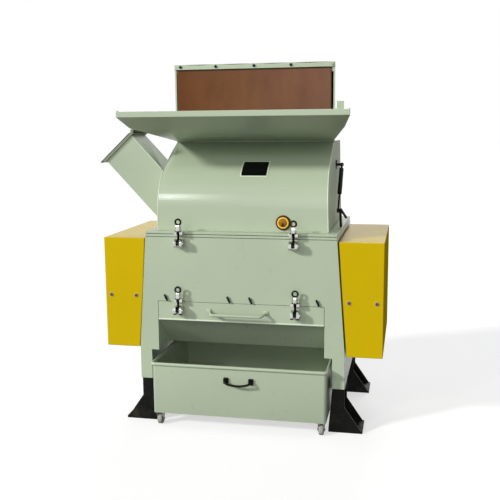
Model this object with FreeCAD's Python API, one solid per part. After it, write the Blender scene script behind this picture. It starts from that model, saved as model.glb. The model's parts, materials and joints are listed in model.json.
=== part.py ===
import FreeCAD, Part
import math
import os

# Plastic crusher: welded body on four bolted feet, closed cutting chamber with a
# hinged-type cover, front feed tray with a rubber curtain, side chute with a
# gravity lid, belt guards, and a wheeled granule bin under the chamber.
# Millimetres, +Z up, +X to the operator's right, +Y to the rear. While it is
# built, y = 0 is the front face of the body; save() moves the origin to the
# centre of the four anchor holes at floor level.

# Body
BODY_DEPTH = 760.0
PLATE_T = 12.0
SIDE_T = 10.0
CHAMBER_HALF = 400.0
CHAMBER_WALL_T = 8.0
BODY_MARGIN = 55.0
BODY_TOP_Z = 917.0
BODY_MID_Z = 659.0
BODY_MID_SPREAD = 17.0
FLARE_Z = 374.0
FLARE_SPREAD = 23.0
LEG_W = 58.0
LEG_BOTTOM_Z = 218.0
NOTCH_DROP = 11.0

# Body and cover flanges, with the gasket between them
FLANGE_T = 12.0
GASKET_T = 2.0
GASKET_INSET = 5.0

# Screen flap and the parts under the chamber
FLAP_TOP_Z = 605.0
FLAP_H = 90.0
FLAP_T = 10.0
FLAP_GAP = 1.5
SLOPE_T = 5.0
SLOPE_LOW_Y = 178.0
SLOPE_DROP = 155.0
SCREEN_R = 250.0
SCREEN_T = 6.0
SCREEN_AXIS_RISE = 85.0

# Feet, measured sideways from the outer face of the leg
FOOT_FRONT_SETBACK = 18.0
FOOT_LENGTH = 150.0
FOOT_PLATE_T = 12.0
FOOT_GUSSET_T = 8.0
FOOT_TOP_W = 58.0
FOOT_BASE_IN = 75.0
FOOT_BASE_OUT = 85.0
FOOT_TIP_OUT = 77.0
FOOT_KINK_Z = 124.0
FOOT_WEB_T = 10.0
ANCHOR_OUT = 57.0
ANCHOR_SETBACK = 109.0
ANCHOR_HOLE_R = 9.0

# Belt guards
GUARD_W = 172.0
GUARD_FRONT_Y = 7.0
GUARD_REAR_GAP = 71.0
GUARD_TOP_DROP = 9.0
GUARD_BOTTOM_DROP = 2.0
GUARD_EDGE_R = 6.0
GUARD_SCREW_R = 8.0
GUARD_SCREW_H = 5.0
GUARD_SCREW_RISE = 256.0
GUARD_SCREW_OUTER_INSET = 30.0
GUARD_SCREW_INNER_INSET = 16.0

# Cover
COVER_T = 8.0
COVER_H = 424.0
COVER_FRONT_Y = 50.0
COVER_SIDE_STEP = 11.0
COVER_LEAN = 11.0
COVER_BEND_R = 230.0
COVER_SLOPE_DEG = 27.5
COVER_SLOPE_END_Y = 380.0

# Feed hopper and curtain
HOPPER_T = 8.0
HOPPER_H = 381.0
HOPPER_SIDE_STEP = 4.0
HOPPER_LEAD = 10.0
HOPPER_ROOF_D = 175.0
HOPPER_REAR_DROP = 161.0
HOPPER_TAPER = 40.0
HEADER_H = 46.0
CURTAIN_T = 5.0
CURTAIN_SIDE_GAP = 2.0
CURTAIN_FLOOR_GAP = 14.0
STRIP_T = 6.0
STRIP_H = 25.0
TAB_W = 43.0
TAB_RISE = 193.0
TAB_H = 60.0
TAB_T = 6.0
TAB_NOTCH_W = 9.0
TAB_NOTCH_H = 35.0

# Feed tray: it rises to a kink, then rises more steeply to its lip
TRAY_T = 4.0
TRAY_KINK_SPREAD = 90.0
TRAY_FRONT_SPREAD = 28.0
TRAY_KINK_D = 441.0
TRAY_KINK_RISE = 68.0
TRAY_FRONT_D = 85.0
TRAY_FRONT_RISE = 46.0
LIP_H = 30.0
LIP_T = 8.0
LIP_LAP = 2.0
TRAY_WALL_H = 34.0
TRAY_WALL_T = 5.0

# Side chute and its lid
CHUTE_DEG = 47.0
CHUTE_W = 180.0
CHUTE_FRONT_Y = 130.0
CHUTE_D = 195.0
CHUTE_T = 5.0
CHUTE_OUT = 218.5
CHUTE_DROP = 18.5
CHUTE_FLANGE_W = 10.0
CHUTE_FLANGE_T = 12.0
LID_T = 4.0
LID_OVERHANG = 16.0
LID_GAP = 0.3
LID_PIN_R = 4.0
LID_BARREL_R = 7.5
LID_LUG_T = 12.0
LID_SIDE_GAP = 6.0
LID_EDGE_GAP = 2.0
LID_PIN_ALONG = 2.0

# Swing-bolt clamps: clevis below the seam, slotted fork above it
CLAMP_REACH = 30.0
CLEVIS_GAP = 16.0
CLEVIS_EAR_T = 13.0
CLEVIS_H = 38.0
CLEVIS_ROOT_T = 6.0
CLAMP_PIN_R = 5.0
BOLT_ROD_R = 6.0
BOLT_EYE_R = 11.0
FORK_T = 14.0
FORK_HALF = 21.0
FORK_SLOT_GAP = 1.0
FORK_RISE = 29.0
NUT_R = 15.0
NUT_H = 32.0
NUT_SEAT_GAP = 0.3
RING_R = 17.5
RING_HOLE_R = 8.5
RING_T = 9.0
PIN_DROP = 26.0
LOWER_PIN_DROP = 36.0
LOWER_FORK_RISE = 19.0
UPPER_LEFT_INSET = 118.0
UPPER_RIGHT_INSET = 140.0
LOWER_LEFT_INSET = 110.0
LOWER_RIGHT_INSET = 132.0
RUN_FIT = 0.06
EYE_SIDE_GAP = 0.5

# Turn latches above the flap, and the flap's handle
STUD_R = 5.0
STUD_L = 8.0
LATCH_L = 38.0
LATCH_W = 12.0
LATCH_T = 8.0
LATCH_CHAMFER = 4.0
LATCH_DEG = 28.0
STUD_RISE = 20.0
STUD_LEFT_INSET = 43.0
STUD_RIGHT_INSET = 31.0
STUD_MIDDLE_XS = (-51.0, 54.0)
HANDLE_X = -9.0
HANDLE_ROOT_HALF = 137.0
HANDLE_BAR_HALF = 120.0
HANDLE_REACH = 50.0
HANDLE_DROP = 8.0
HANDLE_BELOW = 39.0
HANDLE_R = 6.5
HANDLE_BEND_R = 16.0
BAR_SIDES = 12
BEND_STEPS = 4

# Plate, lock and strut on the cover
BADGE_X = 49.0
BADGE_W = 118.0
BADGE_DROP = 96.0
BADGE_H = 55.0
BADGE_T = 3.0
LOCK_X = 201.0
LOCK_RISE = 56.0
LOCK_R = 35.0
LOCK_H = 9.0
LOCK_FACE_R = 27.0
LOCK_FACE_H = 7.0
LOCK_CORE_R = 18.0
LOCK_CORE_H = 5.0
LOCK_SLOT_W = 6.0
STRUT_OUT = 21.0
STRUT_LOW_Y = 285.0
STRUT_LOW_RISE = 91.0
STRUT_TOP_Y = 470.0
STRUT_TOP_RISE = 305.0
STRUT_R = 11.0
STRUT_ROD_R = 5.0
STRUT_ROD_SHARE = 0.36
STRUT_EYE_R = 10.0
STRUT_EYE_W = 12.0
STRUT_NECK = 24.0
STRUT_LUG_T = 10.0
STRUT_LUG_HALF = 16.0
STRUT_LUG_LEAN = 4.0
STRUT_WING_OUT = 30.0
STRUT_WING_DROP = 46.0
STRUT_PAD_HALF = 22.0
STRUT_PAD_T = 5.0
STRUT_STUD_R = 7.0

# Bin
BIN_SIDE_GAP = 20.0
BIN_OUT = 59.0
BIN_LENGTH = 600.0
BIN_H = 252.0
BIN_T = 3.0
BIN_RIM_W = 10.0
BIN_RIM_H = 14.0
BAIL_X = 5.0
BAIL_HALF = 60.0
BAIL_DROP = 70.0
BAIL_REACH = 34.0
BAIL_END_SAG = 4.0
BAIL_MID_SAG = 11.0
BAIL_R = 7.0
BAIL_BEND_R = 14.0
BAIL_BOSS_HALF = 13.0
BAIL_BOSS_H = 8.0

# Casters
WHEEL_R = 25.0
WHEEL_W = 22.0
CASTER_INSET = 25.0
CASTER_FRONT_INSET = 36.0
CASTER_REAR_INSET = 36.0
CASTER_CROWN_GAP = 13.0
CASTER_PLATE_L = 56.0
CASTER_PLATE_W = 44.0
CASTER_PLATE_T = 4.0
CASTER_CHEEK_T = 3.0
CASTER_CHEEK_INSET = 5.6
CASTER_NOSE_HALF = 8.8
CASTER_SIDE_GAP = 1.0
AXLE_R = 4.0

# Sizes that follow from those above
BODY_TOP_HALF = CHAMBER_HALF + BODY_MARGIN
BODY_MID_HALF = BODY_TOP_HALF + BODY_MID_SPREAD
LEG_HALF = BODY_MID_HALF + FLARE_SPREAD
LEG_INNER_HALF = LEG_HALF - LEG_W
NOTCH_Z = FLARE_Z - NOTCH_DROP
FLANGE_TOP_Z = BODY_TOP_Z + FLANGE_T
FLAP_BOTTOM_Z = FLAP_TOP_Z - FLAP_H
SLOPE_LOW_Z = FLAP_BOTTOM_Z - SLOPE_DROP
SCREEN_AXIS_Z = FLAP_TOP_Z + SCREEN_AXIS_RISE
GUARD_OUTER_HALF = LEG_HALF + GUARD_W
GUARD_REAR_Y = BODY_DEPTH - GUARD_REAR_GAP
GUARD_TOP_Z = BODY_TOP_Z - GUARD_TOP_DROP
GUARD_BOTTOM_Z = FLARE_Z - GUARD_BOTTOM_DROP
COVER_BOTTOM_Z = FLANGE_TOP_Z + GASKET_T
COVER_TOP_Z = COVER_BOTTOM_Z + COVER_H
COVER_BOTTOM_HALF = CHAMBER_HALF + COVER_SIDE_STEP
COVER_TOP_HALF = COVER_BOTTOM_HALF - COVER_LEAN
COVER_REAR_Y = BODY_DEPTH - COVER_FRONT_Y
HOPPER_HALF = COVER_TOP_HALF + HOPPER_SIDE_STEP
HOPPER_TOP_Z = COVER_TOP_Z + HOPPER_H
HOPPER_FRONT_Y = COVER_SLOPE_END_Y - HOPPER_LEAD
TRAY_KINK_Y = HOPPER_FRONT_Y - TRAY_KINK_D
TRAY_KINK_Z = COVER_TOP_Z + TRAY_KINK_RISE
TRAY_FRONT_Y = TRAY_KINK_Y - TRAY_FRONT_D
TRAY_FRONT_Z = TRAY_KINK_Z + TRAY_FRONT_RISE
TRAY_KINK_HALF = COVER_TOP_HALF + TRAY_KINK_SPREAD
TRAY_FRONT_HALF = TRAY_KINK_HALF + TRAY_FRONT_SPREAD
BIN_HALF = LEG_INNER_HALF - BIN_SIDE_GAP
BIN_BOTTOM_Z = 2 * WHEEL_R + CASTER_CROWN_GAP + CASTER_PLATE_T
BIN_TOP_Z = BIN_BOTTOM_Z + BIN_H
CASTER_HALF = BIN_HALF - CASTER_INSET

V = FreeCAD.Vector
X_AXIS = V(1, 0, 0)
Y_AXIS = V(0, 1, 0)
Z_AXIS = V(0, 0, 1)
ORIGIN = V(0, 0, 0)

BEND_TOUCH = COVER_BEND_R * math.tan(math.radians(90.0 - COVER_SLOPE_DEG) / 2.0)
SLOPE_FOOT_Z = COVER_TOP_Z - (COVER_SLOPE_END_Y - COVER_FRONT_Y) * math.tan(math.radians(COVER_SLOPE_DEG))
BEND_START_Z = SLOPE_FOOT_Z - BEND_TOUCH
BEND_CENTRE_Y = COVER_FRONT_Y + COVER_BEND_R


def box(x0, x1, y0, y1, z0, z1):
    return Part.makeBox(x1 - x0, y1 - y0, z1 - z0, V(x0, y0, z0))


def prism(points, direction):
    face = Part.Face(Part.makePolygon(points + [points[0]]))
    return face.extrude(direction)


def xz_prism(outline, y0, y1):
    return prism([V(x, y0, z) for x, z in outline], V(0, y1 - y0, 0))


def yz_prism(outline, x0, x1):
    return prism([V(x0, y, z) for y, z in outline], V(x1 - x0, 0, 0))


def xy_prism(outline, z0, z1):
    return prism([V(x, y, z0) for x, y in outline], V(0, 0, z1 - z0))


def rod(radius, start, axis, length):
    return Part.makeCylinder(radius, length, start, axis)


def mirrored(shape):
    return shape.mirror(ORIGIN, X_AXIS)


def fuse(*shapes):
    return shapes[0].multiFuse(list(shapes[1:])).removeSplitter()


def rounded_bar(points, bend, radius):
    """Bar along a polyline whose corners are bends of BEND_STEPS short straight lengths."""
    path = [points[0]]
    for before, corner, after in zip(points, points[1:], points[2:]):
        into = (corner - before).normalize()
        out = (after - corner).normalize()
        half_turn = into.getAngle(out) / 2.0
        centre = corner + (out - into).normalize() * (bend / math.cos(half_turn))
        start = corner - into * (bend * math.tan(half_turn)) - centre
        turn_axis = into.cross(out)
        for k in range(BEND_STEPS + 1):
            turn = FreeCAD.Rotation(turn_axis, math.degrees(2 * half_turn) * k / BEND_STEPS)
            path.append(centre + turn.multVec(start))
    path.append(points[-1])
    way = (path[1] - path[0]).normalize()
    side = way.cross(Z_AXIS).normalize()
    up = side.cross(way)
    rim = []
    for k in range(BAR_SIDES):
        angle = 2 * math.pi * (k + 0.5) / BAR_SIDES
        rim.append(path[0] + side * (radius * math.cos(angle)) + up * (radius * math.sin(angle)))
    section = Part.makePolygon(rim + [rim[0]])
    return Part.makePolygon(path).makePipeShell([section], True, True, 1)


def save(name, shape):
    moved = shape.copy()
    moved.translate(V(0, -BODY_DEPTH / 2.0, 0))
    moved.exportStep(os.path.join("parts", name + ".step"))


def save_pair(stem, right_shape):
    save("right_" + stem, right_shape)
    save("left_" + stem, mirrored(right_shape))


# Body plates
def side_outline():
    return [
        (BODY_TOP_HALF, BODY_TOP_Z),
        (BODY_MID_HALF, BODY_MID_Z),
        (LEG_HALF, FLARE_Z),
        (LEG_HALF, LEG_BOTTOM_Z),
    ]


def front_plate():
    right = side_outline() + [
        (LEG_INNER_HALF, LEG_BOTTOM_Z),
        (LEG_INNER_HALF, NOTCH_Z),
        (CHAMBER_HALF, NOTCH_Z),
        (CHAMBER_HALF, FLAP_TOP_Z + FLAP_GAP),
    ]
    left = [(-x, z) for x, z in reversed(right)]
    return xz_prism(right + left, 0.0, PLATE_T)


def rear_plate():
    right = side_outline()
    left = [(-x, z) for x, z in reversed(right)]
    return xz_prism(right + left, BODY_DEPTH - PLATE_T, BODY_DEPTH)


def side_plate():
    outer = side_outline()
    inner = [(x - SIDE_T, z) for x, z in reversed(outer)]
    return xz_prism(outer + inner, PLATE_T, BODY_DEPTH - PLATE_T)


def chamber_wall():
    return box(CHAMBER_HALF, CHAMBER_HALF + CHAMBER_WALL_T, PLATE_T, BODY_DEPTH - PLATE_T, NOTCH_Z, BODY_TOP_Z)


def flange_ring(z0, inset, thickness):
    half = BODY_TOP_HALF - inset
    outer = box(-half, half, inset, BODY_DEPTH - inset, z0, z0 + thickness)
    inner_half = COVER_BOTTOM_HALF - COVER_T
    front = COVER_FRONT_Y + COVER_T
    inner = box(-inner_half, inner_half, front, BODY_DEPTH - front, z0 - 1, z0 + thickness + 1)
    return outer.cut(inner)


# Parts under the chamber
def screen_flap():
    half = CHAMBER_HALF - FLAP_GAP
    return box(-half, half, 0.0, FLAP_T, FLAP_BOTTOM_Z, FLAP_TOP_Z)


def front_slope():
    run = V(0, SLOPE_LOW_Y - FLAP_T, SLOPE_LOW_Z - FLAP_BOTTOM_Z)
    normal = V(0, -run.z, run.y).normalize() * SLOPE_T
    lower = [(FLAP_T, FLAP_BOTTOM_Z), (SLOPE_LOW_Y, SLOPE_LOW_Z)]
    lift = SLOPE_T / math.cos(math.atan2(-run.z, run.y))
    upper = [(SLOPE_LOW_Y + normal.y, SLOPE_LOW_Z + normal.z), (FLAP_T, FLAP_BOTTOM_Z + lift)]
    return yz_prism(lower + upper, -CHAMBER_HALF, CHAMBER_HALF)


def rear_slope():
    turned = front_slope().mirror(V(0, BODY_DEPTH / 2.0, 0), Y_AXIS)
    backing = box(-CHAMBER_HALF, CHAMBER_HALF, BODY_DEPTH - PLATE_T, BODY_DEPTH, 0, BODY_TOP_Z)
    return turned.cut(backing)


def screen_cradle():
    centre_y = BODY_DEPTH / 2.0
    outer = rod(SCREEN_R, V(-CHAMBER_HALF, centre_y, SCREEN_AXIS_Z), X_AXIS, 2 * CHAMBER_HALF)
    inner = rod(SCREEN_R - SCREEN_T, V(-CHAMBER_HALF, centre_y, SCREEN_AXIS_Z), X_AXIS, 2 * CHAMBER_HALF)
    above = box(-CHAMBER_HALF, CHAMBER_HALF, centre_y - 2 * SCREEN_R, centre_y + 2 * SCREEN_R,
                SCREEN_AXIS_Z, SCREEN_AXIS_Z + 2 * SCREEN_R)
    trough = outer.cut(inner).cut(above)
    z0 = SCREEN_AXIS_Z - SCREEN_T
    front_ledge = box(-CHAMBER_HALF, CHAMBER_HALF, PLATE_T, centre_y - SCREEN_R + SCREEN_T, z0, SCREEN_AXIS_Z)
    rear_ledge = front_ledge.mirror(V(0, centre_y, 0), Y_AXIS)
    return fuse(trough, front_ledge, rear_ledge)


# Feet
def foot():
    y0 = FOOT_FRONT_SETBACK
    y1 = y0 + FOOT_LENGTH
    top_inner = LEG_HALF - FOOT_TOP_W
    base_inner = LEG_HALF - FOOT_BASE_IN
    gusset = [
        (top_inner, LEG_BOTTOM_Z),
        (LEG_HALF, LEG_BOTTOM_Z),
        (LEG_HALF, FOOT_KINK_Z),
        (LEG_HALF + FOOT_TIP_OUT, FOOT_PLATE_T),
        (base_inner, FOOT_PLATE_T),
    ]
    front = xz_prism(gusset, y0, y0 + FOOT_GUSSET_T)
    rear = xz_prism(gusset, y1 - FOOT_GUSSET_T, y1)
    base = box(base_inner, LEG_HALF + FOOT_BASE_OUT, y0, y1, 0, FOOT_PLATE_T)
    top = box(top_inner, LEG_HALF, y0, y1, LEG_BOTTOM_Z - FOOT_PLATE_T, LEG_BOTTOM_Z)
    web_x = (top_inner + LEG_HALF - FOOT_WEB_T) / 2.0
    web = box(web_x, web_x + FOOT_WEB_T, y0, y1, FOOT_PLATE_T, LEG_BOTTOM_Z)
    hole = rod(ANCHOR_HOLE_R, V(LEG_HALF + ANCHOR_OUT, ANCHOR_SETBACK, -1), Z_AXIS, FOOT_PLATE_T + 2)
    return fuse(base, front, rear, top, web).cut(hole)


# Belt guards
def guard():
    top_x = BODY_TOP_HALF + BODY_MID_SPREAD * GUARD_TOP_DROP / (BODY_TOP_Z - BODY_MID_Z)
    outline = [
        (top_x, GUARD_TOP_Z),
        (BODY_MID_HALF, BODY_MID_Z),
        (LEG_HALF, FLARE_Z),
        (LEG_HALF, GUARD_BOTTOM_Z),
        (GUARD_OUTER_HALF, GUARD_BOTTOM_Z),
        (GUARD_OUTER_HALF, GUARD_TOP_Z),
    ]
    shape = xz_prism(outline, GUARD_FRONT_Y, GUARD_REAR_Y)
    outer_edges = []
    for edge in shape.Edges:
        bounds = edge.BoundBox
        upright = abs(bounds.XMin - GUARD_OUTER_HALF) < 0.01 and abs(bounds.XMax - GUARD_OUTER_HALF) < 0.01
        if upright:
            outer_edges.append(edge)
    return shape.makeFillet(GUARD_EDGE_R, outer_edges)


def hexagon(radius, a, b):
    corners = []
    for k in range(6):
        angle = math.radians(60.0 * k)
        corners.append((a + radius * math.cos(angle), b + radius * math.sin(angle)))
    return corners


def hex_head(radius, x, z, y, height):
    """Hexagon head standing on the plane at y, towards the operator."""
    return xz_prism(hexagon(radius, x, z), y - height, y)


def guard_screws():
    heads = []
    z = GUARD_BOTTOM_Z + GUARD_SCREW_RISE
    for x in (LEG_HALF + GUARD_SCREW_INNER_INSET, GUARD_OUTER_HALF - GUARD_SCREW_OUTER_INSET):
        for sign in (-1, 1):
            heads.append(hex_head(GUARD_SCREW_R, sign * x, z, GUARD_FRONT_Y, GUARD_SCREW_H))
    return Part.makeCompound(heads)


# Cover
def cover_solid(inset):
    """Closed cover form, its walls and top moved inwards by inset; the bottom stays open-ended."""
    radius = COVER_BEND_R - inset
    slope = math.radians(COVER_SLOPE_DEG)
    front_y = COVER_FRONT_Y + inset
    rear_y = COVER_REAR_Y - inset
    low = COVER_BOTTOM_Z - inset
    high = COVER_TOP_Z - inset
    bend_end = V(0, BEND_CENTRE_Y - radius * math.sin(slope), BEND_START_Z + radius * math.cos(slope))
    middle_angle = math.radians(90.0 + COVER_SLOPE_DEG) / 2.0
    bend_mid = V(0, BEND_CENTRE_Y - radius * math.sin(middle_angle), BEND_START_Z + radius * math.cos(middle_angle))
    bend_start = V(0, front_y, BEND_START_Z)
    slope_end = V(0, bend_end.y + (high - bend_end.z) / math.tan(slope), high)
    corners = [slope_end, V(0, rear_y, high), V(0, rear_y, low), V(0, front_y, low), bend_start]
    edges = [Part.Arc(bend_start, bend_mid, bend_end).toShape(), Part.makeLine(bend_end, slope_end)]
    for a, b in zip(corners, corners[1:]):
        edges.append(Part.makeLine(a, b))
    profile = Part.Face(Part.Wire(edges))
    width = 2 * COVER_BOTTOM_HALF
    profile.translate(V(-COVER_BOTTOM_HALF, 0, 0))
    block = profile.extrude(V(width, 0, 0))
    lean = (COVER_BOTTOM_HALF - COVER_TOP_HALF) / (COVER_TOP_Z - COVER_BOTTOM_Z)
    low_half = COVER_BOTTOM_HALF - inset + lean * (COVER_BOTTOM_Z - low)
    high_half = COVER_TOP_HALF - inset + lean * (COVER_TOP_Z - high)
    sides = [(-low_half, low), (low_half, low), (high_half, high), (-high_half, high)]
    return block.common(xz_prism(sides, 0, BODY_DEPTH))


def chute_point(along, across):
    """A point from the mouth centre: along the duct outwards, and across it upwards."""
    angle = math.radians(CHUTE_DEG)
    x = -COVER_BOTTOM_HALF - CHUTE_OUT - along * math.cos(angle) + across * math.sin(angle)
    z = COVER_TOP_Z - CHUTE_DROP + along * math.sin(angle) + across * math.cos(angle)
    return (x, z)


def chute_block(along0, along1, across0, across1, y0, y1):
    outline = [
        chute_point(along0, across0),
        chute_point(along1, across0),
        chute_point(along1, across1),
        chute_point(along0, across1),
    ]
    return xz_prism(outline, y0, y1)


CHUTE_REACH = (CHUTE_OUT + CHUTE_W) / math.cos(math.radians(CHUTE_DEG))
CHUTE_REAR_Y = CHUTE_FRONT_Y + CHUTE_D


def chute_bore():
    half = CHUTE_W / 2.0 - CHUTE_T
    return chute_block(-CHUTE_REACH, 2 * CHUTE_FLANGE_T, -half, half, CHUTE_FRONT_Y + CHUTE_T, CHUTE_REAR_Y - CHUTE_T)


def cover_shell():
    shell = cover_solid(0.0).cut(cover_solid(COVER_T))
    behind_slope = box(-HOPPER_HALF, HOPPER_HALF, COVER_SLOPE_END_Y, COVER_REAR_Y, 0, HOPPER_TOP_Z)
    throat = hopper_plan(HOPPER_T, COVER_TOP_Z - 3 * COVER_T, HOPPER_TOP_Z).common(behind_slope)
    return shell.cut(throat).cut(chute_bore())


def side_chute():
    half = CHUTE_W / 2.0
    duct = chute_block(-CHUTE_REACH, 0, -half, half, CHUTE_FRONT_Y, CHUTE_REAR_Y)
    duct = duct.cut(cover_solid(0.0))
    clear_of_cover = box(-CHUTE_REACH * 4, -COVER_TOP_HALF, -BODY_DEPTH, 2 * BODY_DEPTH, 0, 2 * COVER_TOP_Z)
    duct = duct.common(clear_of_cover)
    reach = half + CHUTE_FLANGE_W
    collar = chute_block(-CHUTE_FLANGE_T, 0, -reach, reach,
                         CHUTE_FRONT_Y - CHUTE_FLANGE_W, CHUTE_REAR_Y + CHUTE_FLANGE_W)
    pin_x, pin_z = lid_pin()
    y0 = CHUTE_FRONT_Y - CHUTE_FLANGE_W
    y1 = CHUTE_REAR_Y + CHUTE_FLANGE_W
    pin = rod(LID_PIN_R, V(pin_x, y0, pin_z), Y_AXIS, y1 - y0)
    lugs = []
    for y in (y0, y1 - LID_LUG_T):
        nose = rod(LID_BARREL_R, V(pin_x, y, pin_z), Y_AXIS, LID_LUG_T)
        arm = chute_block(-CHUTE_FLANGE_T, LID_PIN_ALONG, reach - LID_BARREL_R,
                          reach + LID_BARREL_R, y, y + LID_LUG_T)
        lugs += [nose, arm]
    duct = fuse(duct, collar).cut(chute_bore())
    return fuse(duct, pin, *lugs)


def lid_pin():
    across = CHUTE_W / 2.0 + CHUTE_FLANGE_W + LID_BARREL_R + LID_EDGE_GAP
    return chute_point(LID_PIN_ALONG, across)


def chute_lid():
    reach = CHUTE_W / 2.0 + CHUTE_FLANGE_W
    y0 = CHUTE_FRONT_Y - CHUTE_FLANGE_W
    y1 = CHUTE_REAR_Y + CHUTE_FLANGE_W
    barrel_y0 = y0 + LID_LUG_T + LID_SIDE_GAP
    barrel_y1 = y1 - LID_LUG_T - LID_SIDE_GAP
    edge = reach - LID_BARREL_R - LID_EDGE_GAP
    plate = chute_block(LID_GAP, LID_GAP + LID_T, -reach - LID_OVERHANG, edge, y0, y1)
    tongue = chute_block(LID_GAP, LID_GAP + LID_T, edge, reach + LID_BARREL_R + LID_EDGE_GAP, barrel_y0, barrel_y1)
    pin_x, pin_z = lid_pin()
    barrel = rod(LID_BARREL_R, V(pin_x, barrel_y0, pin_z), Y_AXIS, barrel_y1 - barrel_y0)
    bore = rod(LID_PIN_R + RUN_FIT, V(pin_x, y0, pin_z), Y_AXIS, y1 - y0)
    return fuse(plate, tongue, barrel).cut(bore)


# Hopper and curtain
def hopper_outline(inset):
    front = HOPPER_FRONT_Y - inset
    return [
        (front, COVER_TOP_Z - inset),
        (front, HOPPER_TOP_Z - inset),
        (HOPPER_FRONT_Y + HOPPER_ROOF_D - inset * 0.4, HOPPER_TOP_Z - inset),
        (COVER_REAR_Y - inset, HOPPER_TOP_Z - HOPPER_REAR_DROP - inset * 0.4),
        (COVER_REAR_Y - inset, COVER_TOP_Z - inset),
    ]


def hopper_plan(inset, z0, z1):
    """Plan of the hopper, which narrows to the rear, as a block between two heights."""
    taper = HOPPER_TAPER / (COVER_REAR_Y - HOPPER_FRONT_Y)
    right = []
    for y in (HOPPER_FRONT_Y - inset, COVER_REAR_Y - inset):
        right.append((HOPPER_HALF - inset - taper * (y - HOPPER_FRONT_Y), y))
    left = [(-x, y) for x, y in reversed(right)]
    return xy_prism(right + left, z0, z1)


def hopper_form(inset):
    side = yz_prism(hopper_outline(inset), -HOPPER_HALF, HOPPER_HALF)
    return side.common(hopper_plan(inset, COVER_TOP_Z - inset, HOPPER_TOP_Z))


HEADER_Y = HOPPER_FRONT_Y + CURTAIN_T


def hopper_shell():
    inner_half = HOPPER_HALF - HOPPER_T
    outer = hopper_form(0.0)
    inner = hopper_form(HOPPER_T)
    header = box(-inner_half, inner_half, HEADER_Y, HEADER_Y + HOPPER_T, HOPPER_TOP_Z - HEADER_H,
                 HOPPER_TOP_Z - HOPPER_T).common(outer)
    front_slot = box(-inner_half, inner_half, HOPPER_FRONT_Y - 1, HEADER_Y, HOPPER_TOP_Z - HEADER_H,
                     HOPPER_TOP_Z + 1)
    shell = outer.cut(inner).cut(front_slot)
    ear_z = COVER_TOP_Z + TAB_RISE
    ear = box(inner_half, HOPPER_HALF + TAB_W, HOPPER_FRONT_Y, HOPPER_FRONT_Y + TAB_T, ear_z - TAB_H, ear_z)
    ear = ear.cut(box(HOPPER_HALF, HOPPER_HALF + TAB_NOTCH_W, HOPPER_FRONT_Y, HOPPER_FRONT_Y + TAB_T,
                      ear_z - TAB_NOTCH_H, ear_z))
    return fuse(shell, header, ear)


def curtain():
    half = HOPPER_HALF - HOPPER_T - CURTAIN_SIDE_GAP
    floor_z = tray_top_z(HOPPER_FRONT_Y)
    return box(-half, half, HOPPER_FRONT_Y, HEADER_Y, floor_z + CURTAIN_FLOOR_GAP, HOPPER_TOP_Z)


def curtain_strip():
    return box(-HOPPER_HALF, HOPPER_HALF, HOPPER_FRONT_Y - STRIP_T, HOPPER_FRONT_Y,
               HOPPER_TOP_Z - STRIP_H, HOPPER_TOP_Z)


# Feed tray
def tray_rise():
    return -TRAY_KINK_RISE / (TRAY_KINK_D + HOPPER_LEAD)


def tray_top_z(y):
    return TRAY_KINK_Z + tray_rise() * (y - TRAY_KINK_Y) + TRAY_T


def tray_plan(inset):
    right = [
        (COVER_TOP_HALF - inset, HOPPER_FRONT_Y),
        (TRAY_KINK_HALF - inset, TRAY_KINK_Y),
        (TRAY_FRONT_HALF - inset, TRAY_FRONT_Y),
    ]
    left = [(-x, y) for x, y in reversed(right)]
    return right + left


def feed_tray():
    root_z = tray_top_z(HOPPER_FRONT_Y) - TRAY_T
    line = [(HOPPER_FRONT_Y, root_z), (TRAY_KINK_Y, TRAY_KINK_Z), (TRAY_FRONT_Y, TRAY_FRONT_Z)]
    sheet = line + [(y, z + TRAY_T) for y, z in reversed(line)]
    wide = 2 * TRAY_FRONT_HALF
    low, high = COVER_TOP_Z - LIP_H, HOPPER_TOP_Z
    plan = xy_prism(tray_plan(0.0), low, high)
    floor = yz_prism(sheet, -wide, wide).common(plan)
    wall_band = line + [(y, z + TRAY_WALL_H) for y, z in reversed(line)]
    rim = plan.cut(xy_prism(tray_plan(TRAY_WALL_T), low - 1, high + 1))
    walls = yz_prism(wall_band, -wide, wide).common(rim)
    lip = box(-TRAY_FRONT_HALF, TRAY_FRONT_HALF, TRAY_FRONT_Y - LIP_T, TRAY_FRONT_Y,
              TRAY_FRONT_Z - LIP_LAP, TRAY_FRONT_Z + LIP_H)
    return fuse(floor, walls, lip)


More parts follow.
